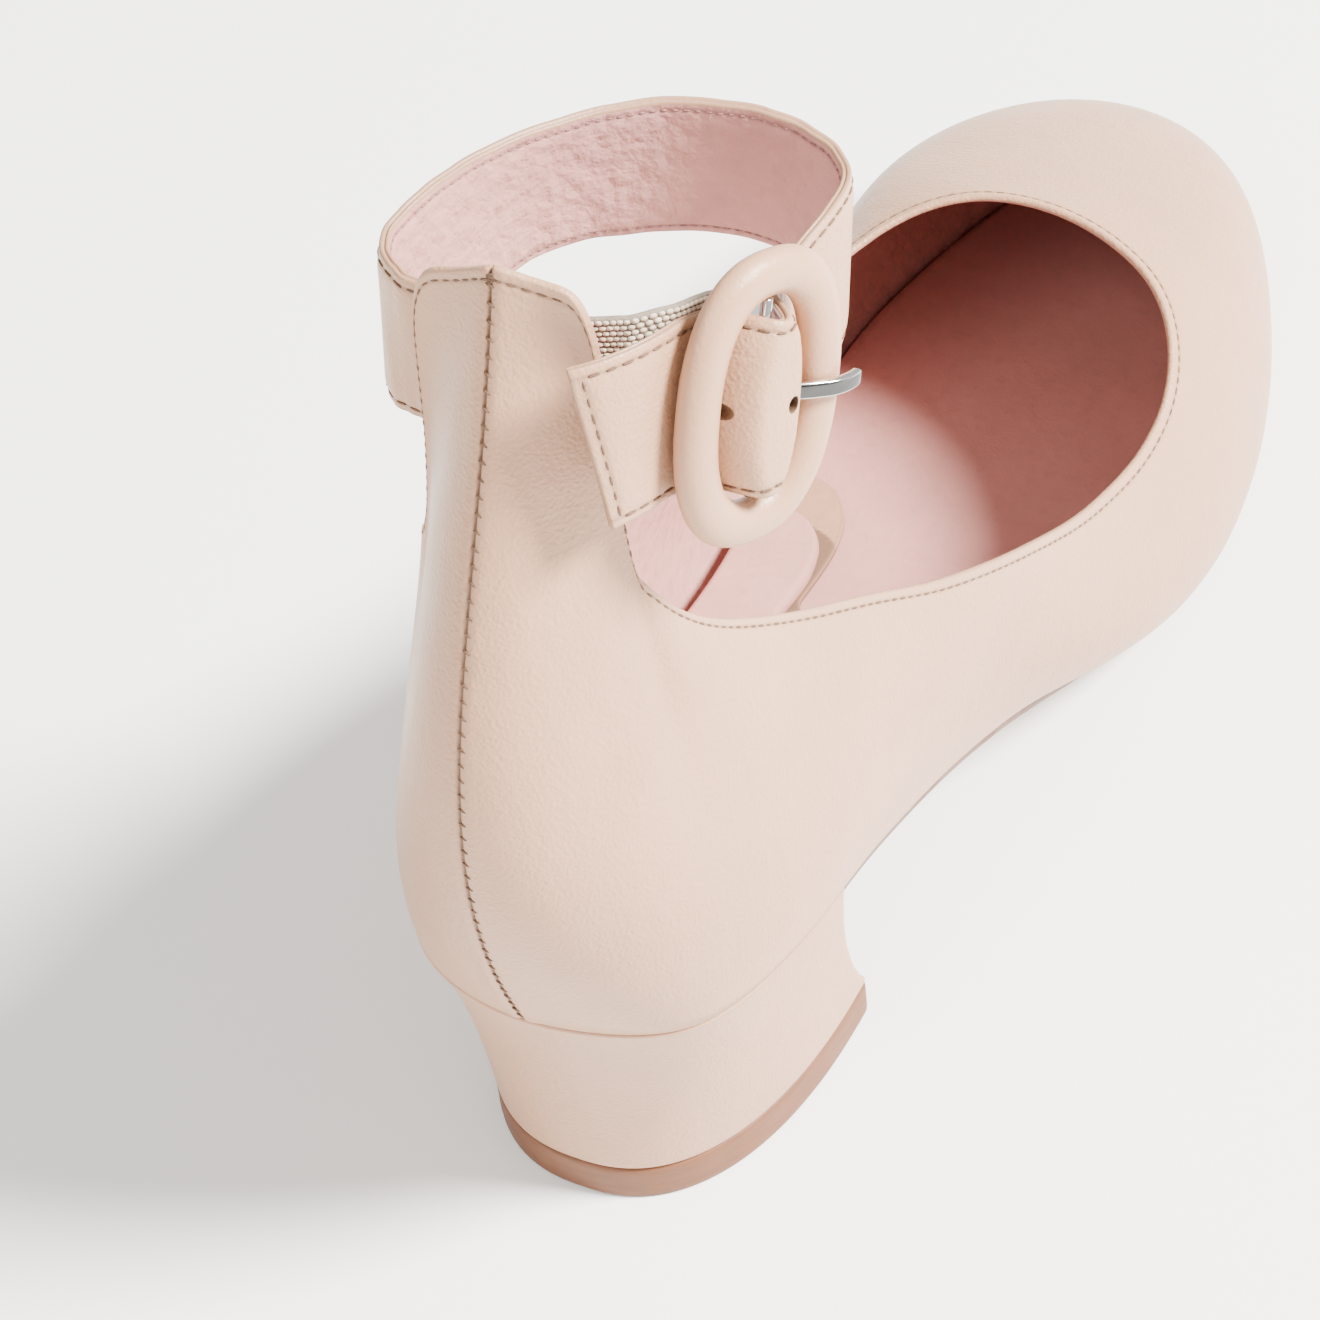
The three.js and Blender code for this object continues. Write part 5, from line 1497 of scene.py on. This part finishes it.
def finishes(scene):
    """Every finish of the shoe, made once."""
    if "leather" in LOOK:
        return LOOK
    c = scene.shoe_colours
    leather, lining = tuple(c.leather), tuple(c.lining)
    LOOK.update(
        leather=smooth_leather("nude_leather", leather),
        ring_leather=smooth_leather("ring_leather", leather, 0.4, 0.4),
        lining=soft_lining("pink_lining", lining),
        strap_lining=soft_lining("strap_lining", lining, 1.5),
        insole=soft_lining("insole_lining", lining, 0.3),
        sock=soft_lining("sock_lining", tuple(c.sock), 0.3),
        cushion=soft_lining("cushion_lining", tuple(c.cushion), 0.4),
        strap_edge=smooth_leather("painted_edge", shade(leather, 0.8), 0.5, 0.2),
        # Raw cut walls of the holes, darkened with painted shade.
        raw_edge=soft_lining("raw_hole_and_shade", shade(leather, 0.3)),
        thread=sewing_thread("taupe_thread", tuple(c.thread)),
        lining_thread=sewing_thread("lining_thread", shade(lining, 0.5)),
        sole=sole_leather("stained_sole", tuple(c.sole), linear(150, 108, 80)),
        top_piece=top_piece("tan_top_piece", tuple(c.top_piece)),
        metal=bright_metal("nickel", tuple(c.metal)),
        elastic=woven_elastic("elastic_loops", tuple(c.elastic)),
        # The ground's dark tone is painted shade between the loops.
        elastic_ground=woven_elastic("elastic_ground", shade(tuple(c.elastic), 0.35)),
        floor=pale_floor("floor_paper", tuple(c.floor)),
    )
    return LOOK


class BuildUpper(bpy.types.Operator):
    """Build the upper with its lining"""
    bl_idname = "shoe.build_upper"
    bl_label = "Upper"

    def execute(self, context):
        EDGE_LINE["upper"] = build_upper(finishes(context.scene))
        return {"FINISHED"}


class BuildUpperStitching(bpy.types.Operator):
    """Sew the edge of the upper and its back seam"""
    bl_idname = "shoe.build_upper_stitching"
    bl_label = "Upper stitching"

    def execute(self, context):
        look, sewing = finishes(context.scene), context.scene.shoe_stitching
        pitch, thread = sewing.pitch * 1000, sewing.thread * 1000
        line, normal, inner = EDGE_LINE["upper"]
        rows = [stitches_along(line, normal, pitch, True, 0.02),
                stitches_along(inner, -normal, pitch, True, 0.04)]
        place_loops("upper_edge_stitches", rows, pitch * STITCH_SHARE, thread, STITCH_RISE, 3,
                    look["thread"], "upper_leather")
        seam = seam_stitches(sewing.seam_pitch * 1000)
        place_loops("back_seam_stitches", [seam], SEAM_STITCH, thread * 1.1, SEAM_RISE, 5,
                    look["thread"], "upper_leather")
        return {"FINISHED"}


class BuildSoleAndHeel(bpy.types.Operator):
    """Build the sole, the covered heel and its top piece"""
    bl_idname = "shoe.build_sole_and_heel"
    bl_label = "Sole and heel"

    def execute(self, context):
        look = finishes(context.scene)
        build_outsole(look)
        build_heel(look)
        return {"FINISHED"}


class BuildInside(bpy.types.Operator):
    """Build the insole, the sock and the heel cushion"""
    bl_idname = "shoe.build_inside"
    bl_label = "Inside"

    def execute(self, context):
        build_inside(finishes(context.scene))
        return {"FINISHED"}


class BuildStrap(bpy.types.Operator):
    """Build the ankle strap with its holes and stitching"""
    bl_idname = "shoe.build_strap"
    bl_label = "Ankle strap"

    def execute(self, context):
        look, sewing = finishes(context.scene), context.scene.shoe_stitching
        pitch, thread = sewing.strap_pitch * 1000, sewing.thread * 1000
        outer, inner = build_strap(look, pitch)
        place_loops("strap_stitches", outer, pitch * STITCH_SHARE, thread, STITCH_RISE, 4,
                    look["thread"], "strap_leather")
        fine = pitch * LINING_PITCH * LINING_SHARE
        place_loops("strap_lining_stitches", inner, fine, thread * 0.8, LINING_RISE, 6,
                    look["lining_thread"], "strap_leather")
        return {"FINISHED"}


class BuildElastic(bpy.types.Operator):
    """Weave the elastic"""
    bl_idname = "shoe.build_elastic"
    bl_label = "Elastic"

    def execute(self, context):
        build_elastic(finishes(context.scene))
        return {"FINISHED"}


class BuildBuckle(bpy.types.Operator):
    """Build the covered ring, the bar and the prong"""
    bl_idname = "shoe.build_buckle"
    bl_label = "Buckle"

    def execute(self, context):
        look = finishes(context.scene)
        build_ring(look)
        build_bar(look)
        build_prong(look)
        return {"FINISHED"}


class BuildStage(bpy.types.Operator):
    """Set the floor, the lights and the camera"""
    bl_idname = "shoe.build_stage"
    bl_label = "Stage"

    def execute(self, context):
        light = context.scene.shoe_light
        build_stage(finishes(context.scene), light.key, light.fill)
        return {"FINISHED"}


STEPS = (BuildUpper, BuildUpperStitching, BuildSoleAndHeel, BuildInside, BuildStrap, BuildElastic,
         BuildBuckle, BuildStage)
GROUPS = {"shoe_stitching": ShoeStitching, "shoe_colours": ShoeColours, "shoe_light": ShoeLight}


class ShoePanel(bpy.types.Panel):
    """Sizes, colours and steps of the shoe"""
    bl_idname = "VIEW3D_PT_shoe"
    bl_label = "Mary Jane Pump"
    bl_space_type = "VIEW_3D"
    bl_region_type = "UI"
    bl_category = "Shoe"

    def draw(self, context):
        for key, group in GROUPS.items():
            box = self.layout.box()
            for name in group.__annotations__:
                box.prop(getattr(context.scene, key), name)
        for step in STEPS:
            self.layout.operator(step.bl_idname)


def register():
    for item in (*GROUPS.values(), *STEPS, ShoePanel):
        bpy.utils.register_class(item)
    for key, group in GROUPS.items():
        setattr(bpy.types.Scene, key, bpy.props.PointerProperty(type=group))


def unregister():
    for key in GROUPS:
        delattr(bpy.types.Scene, key)
    for item in (ShoePanel, *STEPS[::-1], *GROUPS.values()):
        bpy.utils.unregister_class(item)


def main():
    """Runs every step in order."""
    register()
    for step in STEPS:
        area, name = step.bl_idname.split(".")
        getattr(getattr(bpy.ops, area), name)()


if __name__ == "__main__":
    main()
